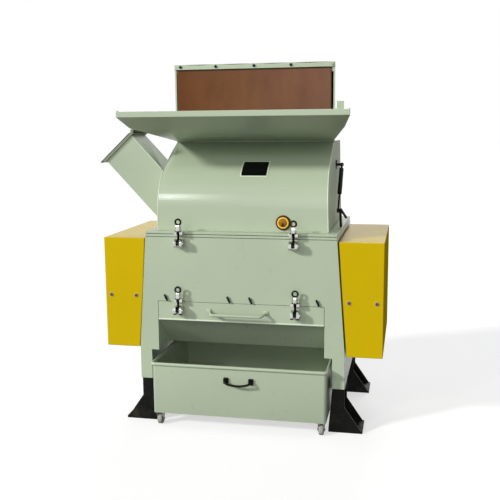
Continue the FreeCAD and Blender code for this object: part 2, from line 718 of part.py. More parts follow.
# Swing-bolt clamps
def clamp_mount(x, pin_z, fork_z):
    """Clevis with its pin on the lower piece, and the slotted fork above the seam."""
    outer = CLEVIS_GAP / 2.0 + CLEVIS_EAR_T
    half = CLEVIS_H / 2.0
    ear = [
        (0.0, pin_z - half),
        (-CLAMP_REACH - half / 2.0, pin_z - half),
        (-CLAMP_REACH - half, pin_z - half / 2.0),
        (-CLAMP_REACH - half, pin_z + half / 2.0),
        (-CLAMP_REACH - half / 2.0, pin_z + half),
        (0.0, pin_z + half),
    ]
    ears = []
    for side in (-1, 1):
        x0 = x + side * CLEVIS_GAP / 2.0
        x1 = x + side * outer
        lo, hi = min(x0, x1), max(x0, x1)
        ears.append(yz_prism(ear, lo, hi))
    root = box(x - outer, x + outer, -CLEVIS_ROOT_T, 0.0, pin_z - half, pin_z + half)
    pin = rod(CLAMP_PIN_R, V(x - outer, -CLAMP_REACH, pin_z), X_AXIS, 2 * outer)
    clevis = fuse(root, pin, *ears)
    z0 = fork_z
    tines = box(x - FORK_HALF, x + FORK_HALF, -CLAMP_REACH - BOLT_ROD_R, 0.0, z0 - FORK_T, z0)
    slot_half = BOLT_ROD_R + FORK_SLOT_GAP
    slot = box(x - slot_half, x + slot_half, -CLAMP_REACH - 2 * BOLT_ROD_R, -CLAMP_REACH, z0 - 2 * FORK_T, z0 + 1)
    seat = rod(slot_half, V(x, -CLAMP_REACH, z0 - 2 * FORK_T), Z_AXIS, 3 * FORK_T)
    fork = tines.cut(slot).cut(seat)
    return [clevis, fork]


def swing_bolt(x, pin_z, fork_z):
    eye_half = CLEVIS_GAP / 2.0 - EYE_SIDE_GAP
    eye = rod(BOLT_EYE_R, V(x - eye_half, -CLAMP_REACH, pin_z), X_AXIS, 2 * eye_half)
    nut_z = fork_z + NUT_SEAT_GAP
    shank = rod(BOLT_ROD_R, V(x, -CLAMP_REACH, pin_z), Z_AXIS, nut_z + NUT_H - pin_z)
    nut = xy_prism(hexagon(NUT_R, x, -CLAMP_REACH), nut_z, nut_z + NUT_H)
    ring_front = V(x, -CLAMP_REACH - RING_T / 2.0, nut_z + NUT_H + (RING_R + RING_HOLE_R) / 2.0)
    ring = rod(RING_R, ring_front, Y_AXIS, RING_T)
    ring_hole = rod(RING_HOLE_R, ring_front, Y_AXIS, RING_T)
    bore = rod(CLAMP_PIN_R + RUN_FIT, V(x - 2 * eye_half, -CLAMP_REACH, pin_z), X_AXIS, 4 * eye_half)
    return fuse(eye, shank, nut, ring).cut(ring_hole).cut(bore)


# Small fittings on the front
def front_studs():
    studs = []
    z = FLAP_TOP_Z + STUD_RISE
    places = (STUD_LEFT_INSET - CHAMBER_HALF,) + STUD_MIDDLE_XS + (CHAMBER_HALF - STUD_RIGHT_INSET,)
    wide, narrow = LATCH_W / 2.0, LATCH_W / 2.0 - LATCH_CHAMFER
    tall, short = LATCH_L / 2.0, LATCH_L / 2.0 - LATCH_CHAMFER
    right = [(narrow, -tall), (wide, -short), (wide, short), (narrow, tall)]
    outline = right + [(-a, b) for a, b in reversed(right)]
    for x in places:
        stem = rod(STUD_R, V(x, 0, z), V(0, -1, 0), STUD_L)
        latch = xz_prism([(x + a, z + b) for a, b in outline], -STUD_L - LATCH_T, -STUD_L)
        latch.rotate(V(x, 0, z), Y_AXIS, -LATCH_DEG)
        studs.append(fuse(stem, latch))
    return Part.makeCompound(studs)


def flap_handle():
    z0 = FLAP_TOP_Z - HANDLE_BELOW
    z1 = z0 - HANDLE_DROP
    points = [
        V(HANDLE_X - HANDLE_ROOT_HALF, 0, z0),
        V(HANDLE_X - HANDLE_BAR_HALF, -HANDLE_REACH, z1),
        V(HANDLE_X + HANDLE_BAR_HALF, -HANDLE_REACH, z1),
        V(HANDLE_X + HANDLE_ROOT_HALF, 0, z0),
    ]
    bar = rounded_bar(points, HANDLE_BEND_R, HANDLE_R)
    behind = box(-CHAMBER_HALF, CHAMBER_HALF, 0, FLAP_T, FLAP_BOTTOM_Z, FLAP_TOP_Z)
    return bar.cut(behind)


def name_plate():
    top = COVER_TOP_Z - BADGE_DROP
    skin = cover_solid(-BADGE_T).cut(cover_solid(0.0))
    window = box(BADGE_X - BADGE_W / 2.0, BADGE_X + BADGE_W / 2.0, COVER_FRONT_Y - BADGE_T,
                 COVER_SLOPE_END_Y, top - BADGE_H, top)
    return skin.common(window)


def lock_knob():
    y = COVER_FRONT_Y
    z = COVER_BOTTOM_Z + LOCK_RISE
    out = V(0, -1, 0)
    base = rod(LOCK_R, V(LOCK_X, y, z), out, LOCK_H)
    y -= LOCK_H
    face = rod(LOCK_FACE_R, V(LOCK_X, y, z), out, LOCK_FACE_H)
    y -= LOCK_FACE_H
    core = rod(LOCK_CORE_R, V(LOCK_X, y, z), out, LOCK_CORE_H)
    y -= LOCK_CORE_H
    slot = box(LOCK_X - LOCK_SLOT_W / 2.0, LOCK_X + LOCK_SLOT_W / 2.0, y, y + LOCK_CORE_H,
               z - LOCK_CORE_R, z)
    return fuse(base, face, core).cut(slot)


def cover_side_x(z):
    share = (z - COVER_BOTTOM_Z) / (COVER_TOP_Z - COVER_BOTTOM_Z)
    return COVER_BOTTOM_HALF + (COVER_TOP_HALF - COVER_BOTTOM_HALF) * share


def strut_ends():
    x = COVER_BOTTOM_HALF + STRUT_OUT
    low = V(x, STRUT_LOW_Y, COVER_BOTTOM_Z + STRUT_LOW_RISE)
    top = V(x, STRUT_TOP_Y, COVER_BOTTOM_Z + STRUT_TOP_RISE)
    return low, top


def gas_strut():
    low, top = strut_ends()
    way = top - low
    length = way.Length
    way.normalize()
    split = low + way * (length * STRUT_ROD_SHARE)
    thin = rod(STRUT_ROD_R, low, way, length * STRUT_ROD_SHARE)
    thick = rod(STRUT_R, split, way, length * (1 - STRUT_ROD_SHARE) - STRUT_NECK)
    neck = rod(STRUT_ROD_R, top - way * STRUT_NECK, way, STRUT_NECK)
    ends = []
    for end in (low, top):
        ends.append(rod(STRUT_EYE_R, end - V(STRUT_EYE_W / 2.0, 0, 0), X_AXIS, STRUT_EYE_W))
    return fuse(thin, thick, neck, *ends)


def strut_brackets():
    """Lower lug on the cover flange, with a wing that folds outwards, and upper stud on the cover side."""
    low, top = strut_ends()
    eye_in = low.x - STRUT_EYE_W / 2.0
    eye_out = low.x + STRUT_EYE_W / 2.0
    flange_z = COVER_BOTTOM_Z + FLANGE_T
    lug_top = low.z + STRUT_EYE_R
    y0, y1 = low.y - STRUT_LUG_HALF, low.y + STRUT_LUG_HALF
    lug = xz_prism([
        (eye_out, lug_top),
        (eye_out + STRUT_LUG_LEAN, flange_z),
        (eye_out + STRUT_LUG_LEAN + STRUT_LUG_T, flange_z),
        (eye_out + STRUT_LUG_T, lug_top),
    ], y0, y1)
    wing = xz_prism([
        (eye_out, lug_top),
        (eye_out + STRUT_WING_OUT, lug_top - STRUT_WING_DROP),
        (eye_out + STRUT_WING_OUT + STRUT_LUG_T, lug_top - STRUT_WING_DROP),
        (eye_out + STRUT_LUG_T, lug_top),
    ], y0, y1)
    wall_x = cover_side_x(top.z)
    pad = box(wall_x - COVER_T / 2.0, wall_x + STRUT_PAD_T, top.y - STRUT_PAD_HALF, top.y + STRUT_PAD_HALF,
              top.z - STRUT_PAD_HALF, top.z + STRUT_PAD_HALF)
    stud = rod(STRUT_STUD_R, V(wall_x, top.y, top.z), X_AXIS, eye_in - wall_x)
    return Part.makeCompound([fuse(lug, wing), fuse(pad, stud).cut(cover_solid(0.0))])


# Bin and casters
def bin_box():
    y0 = -BIN_OUT
    y1 = y0 + BIN_LENGTH
    outer = box(-BIN_HALF, BIN_HALF, y0, y1, BIN_BOTTOM_Z, BIN_TOP_Z)
    rim = box(-BIN_HALF - BIN_RIM_W, BIN_HALF + BIN_RIM_W, y0 - BIN_RIM_W, y1 + BIN_RIM_W,
              BIN_TOP_Z - BIN_RIM_H, BIN_TOP_Z)
    inner_half = BIN_HALF - BIN_T
    inner = box(-inner_half, inner_half, y0 + BIN_T, y1 - BIN_T, BIN_BOTTOM_Z + BIN_T, BIN_TOP_Z + 1)
    return fuse(outer, rim).cut(inner)


def bin_handle():
    y = -BIN_OUT
    z = BIN_TOP_Z - BAIL_DROP
    bosses = []
    for side in (-1, 1):
        x = BAIL_X + side * BAIL_HALF
        bosses.append(box(x - BAIL_BOSS_HALF, x + BAIL_BOSS_HALF, y - BAIL_BOSS_H, y,
                          z - BAIL_BOSS_HALF, z + BAIL_BOSS_HALF))
    points = [
        V(BAIL_X - BAIL_HALF, y, z),
        V(BAIL_X - BAIL_HALF, y - BAIL_REACH, z - BAIL_END_SAG),
        V(BAIL_X, y - BAIL_REACH, z - BAIL_MID_SAG),
        V(BAIL_X + BAIL_HALF, y - BAIL_REACH, z - BAIL_END_SAG),
        V(BAIL_X + BAIL_HALF, y, z),
    ]
    bar = rounded_bar(points, BAIL_BEND_R, BAIL_R)
    behind = box(-BIN_HALF, BIN_HALF, y, y + BAIL_REACH, BIN_BOTTOM_Z, BIN_TOP_Z)
    return fuse(bar, *bosses).cut(behind)


def caster_places():
    front_y = CASTER_FRONT_INSET - BIN_OUT
    rear_y = BIN_LENGTH - BIN_OUT - CASTER_REAR_INSET
    return (
        ("front_left", -CASTER_HALF, front_y),
        ("front_right", CASTER_HALF, front_y),
        ("rear_left", -CASTER_HALF, rear_y),
        ("rear_right", CASTER_HALF, rear_y),
    )


def caster_fork(x, y):
    plate = box(x - CASTER_PLATE_W / 2.0, x + CASTER_PLATE_W / 2.0, y - CASTER_PLATE_L / 2.0,
                y + CASTER_PLATE_L / 2.0, BIN_BOTTOM_Z - CASTER_PLATE_T, BIN_BOTTOM_Z)
    inner = WHEEL_W / 2.0 + CASTER_SIDE_GAP
    cheeks = []
    for side in (-1, 1):
        x0 = x + side * inner
        x1 = x + side * (inner + CASTER_CHEEK_T)
        lo, hi = min(x0, x1), max(x0, x1)
        root = CASTER_PLATE_L / 2.0 - CASTER_CHEEK_INSET
        outline = [
            (y - root, BIN_BOTTOM_Z - CASTER_PLATE_T),
            (y + root, BIN_BOTTOM_Z - CASTER_PLATE_T),
            (y + CASTER_NOSE_HALF, WHEEL_R),
            (y + CASTER_NOSE_HALF / 2.0, WHEEL_R - CASTER_NOSE_HALF),
            (y - CASTER_NOSE_HALF / 2.0, WHEEL_R - CASTER_NOSE_HALF),
            (y - CASTER_NOSE_HALF, WHEEL_R),
        ]
        cheeks.append(yz_prism(outline, lo, hi))
    reach = inner + CASTER_CHEEK_T
    axle = rod(AXLE_R, V(x - reach, y, WHEEL_R), X_AXIS, 2 * reach)
    return fuse(plate, axle, *cheeks)


def wheel(x, y):
    half = WHEEL_W / 2.0
    tyre = rod(WHEEL_R, V(x - half, y, WHEEL_R), X_AXIS, WHEEL_W)
    bore = rod(AXLE_R + RUN_FIT, V(x - WHEEL_W, y, WHEEL_R), X_AXIS, 2 * WHEEL_W)
    return tyre.cut(bore)


def build():
    os.makedirs("parts", exist_ok=True)
    save("front_plate", front_plate())
    save("rear_plate", rear_plate())
    save_pair("side_plate", side_plate())
    save_pair("chamber_wall", chamber_wall())
    save("body_flange", flange_ring(BODY_TOP_Z, 0.0, FLANGE_T))
    save("seam_gasket", flange_ring(FLANGE_TOP_Z, GASKET_INSET, GASKET_T))
    save("cover_flange", cover_flange())
    save("screen_flap", screen_flap())
    save("front_slope", front_slope())
    save("rear_slope", rear_slope())
    save("screen_cradle", screen_cradle())
    front_foot = foot()
    rear_foot = front_foot.mirror(V(0, BODY_DEPTH / 2.0, 0), Y_AXIS)
    save_pair("front_foot", front_foot)
    save_pair("rear_foot", rear_foot)
    save_pair("guard", guard())
    save("guard_screws", guard_screws())
    save("cover_shell", cover_shell())
    save("side_chute", side_chute())
    save("chute_lid", chute_lid())
    save("hopper_shell", hopper_shell())
    save("curtain", curtain())
    save("curtain_strip", curtain_strip())
    save("feed_tray", feed_tray())
    save("name_plate", name_plate())
    save("lock_knob", lock_knob())
    save("gas_strut", gas_strut())
    save("strut_brackets", strut_brackets())
    save("front_studs", front_studs())
    save("flap_handle", flap_handle())
    upper_pin = BODY_TOP_Z - PIN_DROP
    upper_fork = BODY_TOP_Z + FORK_RISE
    lower_pin = FLAP_TOP_Z - LOWER_PIN_DROP
    lower_fork = FLAP_TOP_Z + LOWER_FORK_RISE
    clamps = (
        ("upper_left", UPPER_LEFT_INSET - CHAMBER_HALF, upper_pin, upper_fork),
        ("upper_right", CHAMBER_HALF - UPPER_RIGHT_INSET, upper_pin, upper_fork),
        ("lower_left", LOWER_LEFT_INSET - CHAMBER_HALF, lower_pin, lower_fork),
        ("lower_right", CHAMBER_HALF - LOWER_RIGHT_INSET, lower_pin, lower_fork),
    )
    mounts = []
    for name, x, pin_z, fork_z in clamps:
        mounts += clamp_mount(x, pin_z, fork_z)
        save(name + "_swing_bolt", swing_bolt(x, pin_z, fork_z))
    save("clamp_mounts", Part.makeCompound(mounts))
    save("bin_box", bin_box())
    save("bin_handle", bin_handle())
    forks = []
    for name, x, y in caster_places():
        forks.append(caster_fork(x, y))
        save(name + "_wheel", wheel(x, y))
    save("caster_forks", Part.makeCompound(forks))


def cover_flange():
    return flange_ring(COVER_BOTTOM_Z, 0.0, FLANGE_T).cut(cover_solid(0.0))


build()
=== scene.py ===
import bpy
import bmesh
import json
import math
from mathutils import Matrix, Vector, noise


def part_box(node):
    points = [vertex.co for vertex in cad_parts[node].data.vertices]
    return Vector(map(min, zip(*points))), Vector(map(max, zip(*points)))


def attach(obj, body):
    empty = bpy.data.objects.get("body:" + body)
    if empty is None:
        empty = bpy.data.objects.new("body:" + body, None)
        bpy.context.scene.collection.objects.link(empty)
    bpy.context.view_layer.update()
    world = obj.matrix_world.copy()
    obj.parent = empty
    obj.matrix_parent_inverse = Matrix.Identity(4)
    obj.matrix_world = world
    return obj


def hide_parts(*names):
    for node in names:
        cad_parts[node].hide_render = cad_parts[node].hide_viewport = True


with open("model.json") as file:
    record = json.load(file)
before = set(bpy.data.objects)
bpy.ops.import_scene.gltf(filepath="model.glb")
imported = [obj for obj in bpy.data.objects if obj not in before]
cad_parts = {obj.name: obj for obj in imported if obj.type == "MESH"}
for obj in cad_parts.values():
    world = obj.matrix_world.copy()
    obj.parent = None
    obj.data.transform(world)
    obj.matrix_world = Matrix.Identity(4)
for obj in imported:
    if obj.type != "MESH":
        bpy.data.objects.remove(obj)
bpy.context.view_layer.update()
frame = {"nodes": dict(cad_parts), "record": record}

# Camera, as fitted to the photograph
CAMERA_AT = Vector((0.7658, -3.7948, 1.4168))
CAMERA_YAW = math.radians(11.79)
CAMERA_PITCH = math.radians(9.01)
CAMERA_ROLL = math.radians(-0.45)
CAMERA_LENS_MM = 54.99

# Light
SUN_FROM = Vector((-1.25, -1.0, 0.75))
SUN_POWER = 2.6
SUN_SPREAD = 0.12
FILL_FROM = Vector((0.25, -1.0, 0.22))
FILL_POWER = 0.88
FILL_SPREAD = 0.9
BACK_SUN_FROM = Vector((-0.1, 1.0, 0.8))
BACK_SUN_POWER = 1.1
BACK_SUN_SPREAD = 0.5
GLARE_AT = Vector((-1.9, -4.6, 3.0))
GLARE_TO = Vector((-0.33, -0.31, 1.105))
GLARE_POWER = 40.0
GLARE_SIZE = (0.4, 0.85)
SKY_LEVEL = 0.27
SKY_COLOUR = (0.96, 0.98, 1.0, 1.0)
FLOOR_GLOW = 0.6
FLOOR_SEEN = 0.5
FLOOR_GIVEN = 0.17
FLOOR_SIZE = 40.0

# Paints and other colours, sRGB
BODY_GREEN = "#aebba2"
# painted highlight: a lighter green for edge beads and lips
EDGE_HIGHLIGHT_GREEN = "#c9d4bf"
# painted shade: a darker green for the chute collar behind the lid
COLLAR_SHADE_GREEN = "#79826c"
GUARD_YELLOW = "#cbae06"
FOOT_BLACK = "#0b0c09"
CURTAIN_LEFT = "#623814"
CURTAIN_MIDDLE = "#6b4426"
CURTAIN_RIGHT = "#73503e"
CURTAIN_STAIN = "#8a5a34"
CURTAIN_SPECK = "#3d2a1c"
CURTAIN_STRIP_SHADOW = "#1c130c"
CHROME = "#c9cac4"
STEEL = "#8e8d84"
DARK_STEEL = "#3b3a34"
BLACK_STEEL_AND_DARK_REFLECTION = "#161613"
SCREW_BROWN = "#5a3d1a"
WASHER_TAN = "#b9a565"
BLACK = "#070807"
PLATE_EDGE = "#d5dccb"
KNOB_BROWN = "#4a2202"
KNOB_YELLOW = "#ffcb50"
KNOB_AMBER = "#976404"
KEYHOLE = "#2a0c06"
TYRE_GREY = "#9b9b95"
GASKET_AND_SEAM_SHADOW_BLACK = "#20211d"
DUST = "#8f8a78"
GRIME = "#6f6a58"

SIDES = (("left", -1), ("right", 1))
UP = Vector((0, 0, 1))
FRONT = Vector((0, -1, 0))
RIGHT = Vector((1, 0, 0))


def linear(code):
    values = []
    for k in (1, 3, 5):
        c = int(code[k:k + 2], 16) / 255.0
        values.append(c / 12.92 if c <= 0.04045 else ((c + 0.055) / 1.055) ** 2.4)
    return values


def shade(code, factor=1.0):
    return [min(1.0, c * factor) for c in linear(code)] + [1.0]


def grey(v):
    return (v, v, v, 1.0)


def polar(radius, degrees):
    """The two coordinates of a point on a circle."""
    angle = math.radians(degrees)
    return radius * math.cos(angle), radius * math.sin(angle)


# Materials
class Nodes:
    """A material with a Principled shader, and short ways to add nodes to it."""

    def __init__(self, name):
        self.material = bpy.data.materials.new(name)
        self.material.use_nodes = True
        self.tree = self.material.node_tree
        self.shader = self.tree.nodes["Principled BSDF"]
        self.output = self.tree.nodes["Material Output"]
        self.coords = self.tree.nodes.new("ShaderNodeTexCoord").outputs["Object"]

    def add(self, kind, **settings):
        node = self.tree.nodes.new(kind)
        for key, value in settings.items():
            setattr(node, key, value)
        return node

    def link(self, a, b):
        self.tree.links.new(a, b)

    def stretched(self, scale):
        mapping = self.add("ShaderNodeMapping")
        mapping.inputs["Scale"].default_value = scale
        self.link(self.coords, mapping.inputs["Vector"])
        return mapping.outputs["Vector"]

    def along(self, axis, start, end):
        """0 to 1 along one axis of the frame, between two places."""
        parts = self.add("ShaderNodeSeparateXYZ")
        self.link(self.coords, parts.inputs["Vector"])
        span = self.add("ShaderNodeMapRange")
        span.inputs["From Min"].default_value = start
        span.inputs["From Max"].default_value = end
        self.link(parts.outputs[axis], span.inputs["Value"])
        return span.outputs["Result"]

    def noise(self, scale, detail=4.0, rough=0.55, vector=None):
        node = self.add("ShaderNodeTexNoise")
        node.inputs["Scale"].default_value = scale
        node.inputs["Detail"].default_value = detail
        node.inputs["Roughness"].default_value = rough
        self.link(vector or self.coords, node.inputs["Vector"])
        return node.outputs["Fac"]

    def ramp(self, value, stops):
        node = self.add("ShaderNodeValToRGB")
        ramp = node.color_ramp
        while len(ramp.elements) < len(stops):
            ramp.elements.new(0.5)
        for element, (place, colour) in zip(ramp.elements, stops):
            element.position = place
            element.color = colour
        self.link(value, node.inputs["Fac"])
        return node.outputs["Color"]

    def mix(self, amount, a, b, blend="MIX"):
        node = self.add("ShaderNodeMix", data_type="RGBA", blend_type=blend)
        for socket, value in ((node.inputs["Factor"], amount), (node.inputs[6], a), (node.inputs[7], b)):
            if isinstance(value, bpy.types.NodeSocket):
                self.link(value, socket)
            else:
                socket.default_value = value
        return node.outputs[2]

    def bump(self, *layers):
        normal = None
        for height, strength, distance in layers:
            node = self.add("ShaderNodeBump")
            node.inputs["Strength"].default_value = strength
            node.inputs["Distance"].default_value = distance
            self.link(height, node.inputs["Height"])
            if normal:
                self.link(normal, node.inputs["Normal"])
            normal = node.outputs["Normal"]
        self.link(normal, self.shader.inputs["Normal"])

    def colour(self, socket):
        self.link(socket, self.shader.inputs["Base Color"])

    def rough(self, low, high, scale=14.0):
        self.link(self.ramp(self.noise(scale, 5.0), [(0.3, grey(low)), (0.75, grey(high))]),
                  self.shader.inputs["Roughness"])

    def set(self, **values):
        for key, value in values.items():
            self.shader.inputs[key.replace("_", " ")].default_value = value


def paint(name, code, low=0.26, high=0.36, grime=0.04, spread=0.03, specular=0.35, peel=0.012):
    """Sprayed enamel: slow colour drift, orange peel, faint vertical grime and uneven gloss."""
    m = Nodes(name)
    base = m.ramp(m.noise(2.2, 3.0), [(0.3, shade(code, 1 - spread)), (0.7, shade(code, 1 + spread))])
    streak = m.noise(1.2, 3.0, 0.5, m.stretched((5.0, 5.0, 1.0)))
    soil = m.ramp(streak, [(0.4, grey(0.0)), (0.9, grey(grime))])
    m.colour(m.mix(soil, base, shade(GRIME, 0.8)))
    m.rough(low, high)
    m.bump((m.noise(160.0, 2.0), peel, 0.0004), (m.noise(3.5, 2.0), 0.10, 0.003))
    m.set(Specular_IOR_Level=specular)
    return m.material


def dusty_paint(name, code):
    """Black enamel near the floor: dust in patches, more of it low down."""
    m = Nodes(name)
    base = m.ramp(m.noise(3.0, 4.0), [(0.3, shade(code, 0.8)), (0.7, shade(code, 1.3))])
    patches = m.ramp(m.noise(16.0, 8.0, 0.7), [(0.5, grey(0.0)), (0.8, grey(0.22))])
    low_down = m.ramp(m.along("Z", 0.0, 0.20), [(0.0, grey(1.0)), (0.9, grey(0.15))])
    m.colour(m.mix(m.mix(1.0, patches, low_down, "MULTIPLY"), base, shade(DUST, 0.6)))
    m.rough(0.35, 0.6, 20.0)
    m.bump((m.noise(300.0, 3.0), 0.10, 0.0004))
    m.set(Specular_IOR_Level=0.10)
    return m.material


def steel(name, code, low=0.25, high=0.5, metallic=0.9, stain="#8a6a48"):
    m = Nodes(name)
    spots = m.noise(90.0, 6.0, 0.65)
    stops = [(0.35, shade(code, 0.75)), (0.6, shade(code, 1.08)), (0.82, shade(stain, 0.8))]
    m.colour(m.ramp(spots, stops))
    m.rough(low, high, 60.0)
    m.bump((m.noise(700.0, 3.0), 0.10, 0.0004))
    m.set(Metallic=metallic)
    return m.material


def rubber(name, code, rough=0.7, grain=0.3, specular=0.25):
    m = Nodes(name)
    cloud = m.noise(6.0, 6.0, 0.6)
    base = m.ramp(cloud, [(0.3, shade(code, 0.82)), (0.7, shade(code, 1.14))])
    dust = m.ramp(m.noise(40.0, 6.0, 0.7), [(0.55, grey(0.0)), (0.85, grey(0.28))])
    m.colour(m.mix(dust, base, shade(DUST, 0.8)))
    m.bump((m.noise(900.0, 2.0), grain, 0.0004), (m.noise(11.0, 3.0), 0.15, 0.003))
    m.set(Roughness=rough, Specular_IOR_Level=specular)
    return m.material


def curtain_rubber(half, strip_z):
    """Red-brown sheet rubber, redder at the left, with flow marks and stains, and a painted shadow just
    under the strip.
    """
    m = Nodes("curtain_rubber")
    across = m.ramp(m.along("X", -half, half), [(0.0, shade(CURTAIN_LEFT)), (0.3, shade(CURTAIN_MIDDLE)),
                                               (1.0, shade(CURTAIN_RIGHT))])
    flow = m.noise(7.0, 5.0, 0.6, m.stretched((1.0, 1.0, 0.45)))
    marks = m.ramp(flow, [(0.32, grey(0.80)), (0.68, grey(1.16))])
    base = m.mix(1.0, across, marks, "MULTIPLY")
    stains = m.ramp(m.noise(3.2, 7.0, 0.65), [(0.56, grey(0.0)), (0.74, grey(0.45))])
    base = m.mix(stains, base, shade(CURTAIN_STAIN, 0.9))
    specks = m.ramp(m.noise(55.0, 6.0, 0.7), [(0.62, grey(0.0)), (0.85, grey(0.35))])
    base = m.mix(specks, base, shade(CURTAIN_SPECK))
    # painted shadow: the rubber turns near black in the last centimetre under the strip
    strip_shadow = m.ramp(m.along("Z", strip_z - 0.012, strip_z), [(0.2, grey(0.0)), (0.7, grey(0.85))])
    m.colour(m.mix(strip_shadow, base, shade(CURTAIN_STRIP_SHADOW)))
    m.rough(0.42, 0.66, 9.0)
    folds = m.noise(9.0, 3.0, 0.5, m.stretched((1.0, 1.0, 3.0)))
    m.bump((m.noise(800.0, 2.0), 0.2, 0.0004), (folds, 0.25, 0.003))
    m.set(Specular_IOR_Level=0.14)
    return m.material


def plastic(name, code, rough=0.3, specular=0.4):
    m = Nodes(name)
    m.colour(m.ramp(m.noise(25.0, 4.0), [(0.3, shade(code, 0.88)), (0.75, shade(code, 1.1))]))
    m.bump((m.noise(1100.0, 2.0), 0.1, 0.0002))
    m.set(Roughness=rough, Specular_IOR_Level=specular)
    return m.material


green = paint("body_green", BODY_GREEN)
# The chute collar's darker green, with more grime mixed in, is painted shade behind the lid.
collar_painted_shade = paint("collar_painted_shade", COLLAR_SHADE_GREEN, low=0.4, high=0.6, grime=0.3)
cover_green = paint("cover_green", BODY_GREEN, low=0.18, high=0.24, grime=0.02, specular=0.40, peel=0.03)
cover_side = paint("cover_side_green", BODY_GREEN, low=0.45, high=0.55, grime=0.05, specular=0.06,
                   peel=0.03)
tray_green = paint("tray_green", BODY_GREEN, low=0.30, high=0.36, grime=0.02, peel=0.02)
# A lighter, glossier green on edge beads and lips, a painted highlight along those edges.
painted_highlight_green = paint("painted_highlight_green", EDGE_HIGHLIGHT_GREEN, low=0.35, high=0.42, grime=0.0, spread=0.02, specular=0.7,
                   peel=0.0)
yellow = paint("guard_yellow", GUARD_YELLOW, low=0.16, high=0.22, grime=0.02, spread=0.04, specular=0.06,
               peel=0.0)
yellow_side = paint("guard_yellow_side", GUARD_YELLOW, low=0.6, high=0.7, spread=0.04, specular=0.0,
                    peel=0.0)
black_paint = dusty_paint("foot_black", FOOT_BLACK)
# Dark rubber for the seam gasket; also used for the painted shadow strip under the body flange.
gasket_and_seam_shadow_rubber = rubber("gasket_rubber", GASKET_AND_SEAM_SHADOW_BLACK)
chrome = steel("chrome", CHROME, low=0.12, high=0.26, metallic=1.0, stain="#a09a88")
# Black steel; on the swing-bolt rings its dark colour stands in for a dark reflection in chrome, a painted
# reflection.
black_steel_and_painted_reflection = steel("black_steel_and_painted_reflection", BLACK_STEEL_AND_DARK_REFLECTION, low=0.18, high=0.3, metallic=0.8, stain="#2a241c")
zinc = steel("zinc_steel", STEEL, low=0.3)
dark_steel = steel("dark_steel", DARK_STEEL, low=0.4, high=0.6, metallic=0.6, stain="#57452f")
screw_brown = steel("screw_brown", SCREW_BROWN, low=0.35, metallic=0.5, stain="#7b4f22")
washer_tan = paint("washer_tan", WASHER_TAN, low=0.35, high=0.5)
black_gloss = plastic("strut_black", BLACK, rough=0.25, specular=0.16)
black_plastic = plastic("handle_black", BLACK, rough=0.32, specular=0.12)
plate_black = plastic("plate_black", BLACK, rough=0.4, specular=0.12)
plate_edge = plastic("plate_edge", PLATE_EDGE, rough=0.35)
knob_brown = plastic("knob_brown", KNOB_BROWN, rough=0.35, specular=0.12)
knob_yellow = plastic("knob_yellow", KNOB_YELLOW, specular=0.25)
knob_amber = plastic("knob_amber", KNOB_AMBER, rough=0.25, specular=0.2)
keyhole_dark = plastic("keyhole_dark", KEYHOLE, rough=0.5, specular=0.2)
tyre_grey = rubber("wheel_grey", TYRE_GREY, rough=0.6, grain=0.1)


# Mesh helpers
def new_object(name, bm, material, body, smooth_deg=35.0):
    bmesh.ops.recalc_face_normals(bm, faces=bm.faces)
    mesh = bpy.data.meshes.new(name)
    bm.to_mesh(mesh)
    bm.free()
    obj = bpy.data.objects.new(name, mesh)
    bpy.context.collection.objects.link(obj)
    mesh.materials.append(material)
    mesh.shade_smooth()
    mesh.set_sharp_from_angle(angle=math.radians(smooth_deg))
    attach(obj, body)
    return obj


def body_of_node(node):
    for body, nodes in frame["record"]["behaviour"]["bodies"].items():
        if node in nodes:
            return body


def stands_for(obj, node):
    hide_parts(node)
    return obj


def round_edges(obj, width, segments=2):
    modifier = obj.modifiers.new("edges", "BEVEL")
    modifier.width = width
    modifier.segments = segments
    modifier.limit_method = "ANGLE"
    modifier.angle_limit = math.radians(35.0)
    modifier.use_clamp_overlap = True
    modifier.harden_normals = True


def dressed(node, material, bevel=0.0015, segments=2, second=None, is_second=None, moved=None):
    """The node's own shape with broken edges. Some faces may take a second material, and a corner
    may be moved in height."""
    bm = bmesh.new()
    bm.from_mesh(frame["nodes"][node].data)
    if moved:
        for vertex in bm.verts:
            vertex.co.z += moved(vertex.co)
    bmesh.ops.remove_doubles(bm, verts=bm.verts, dist=1e-6)
    bmesh.ops.dissolve_limit(bm, angle_limit=math.radians(1.0), verts=bm.verts, edges=bm.edges)
    for face in bm.faces:
        face.material_index = 1 if second and is_second(face.calc_center_median()) else 0
    obj = new_object(node + "_dressed", bm, material, body_of_node(node))
    if second:
        obj.data.materials.append(second)
    round_edges(obj, bevel, segments)
    return stands_for(obj, node)


def placed(bm, at, axis):
    turn = UP.rotation_difference(Vector(axis)).to_matrix().to_4x4()
    bm.transform(Matrix.Translation(Vector(at)) @ turn)


def skin(bm, rings, closed_across=True, closed_along=False):
    """Faces between rows of vertices."""
    pairs = list(zip(rings, rings[1:]))
    if closed_along:
        pairs.append((rings[-1], rings[0]))
    for lower, upper in pairs:
        count = len(lower)
        for k in range(count if closed_across else count - 1):
            n = (k + 1) % count
            corners = []
            for v in (lower[k], lower[n], upper[n], upper[k]):
                if v not in corners:
                    corners.append(v)
            if len(corners) > 2:
                bm.faces.new(corners)


def lathe(name, profile, at, axis, material, body, steps=40, hollow=False):
    """A turned piece. Its profile is (radius, distance along the axis); a hollow one closes on itself."""
    bm = bmesh.new()
    rings = []
    for r, h in profile:
        if r < 1e-6:
            rings.append([bm.verts.new((0, 0, h))] * steps)
            continue
        ring = []
        for k in range(steps):
            a = 2 * math.pi * k / steps
            ring.append(bm.verts.new((r * math.cos(a), r * math.sin(a), h)))
        rings.append(ring)
    skin(bm, rings, closed_along=hollow)
    if not hollow:
        for ring in (rings[0], rings[-1]):
            if ring[0] is not ring[1]:
                bm.faces.new(ring)
    placed(bm, at, axis)
    return new_object(name, bm, material, body)


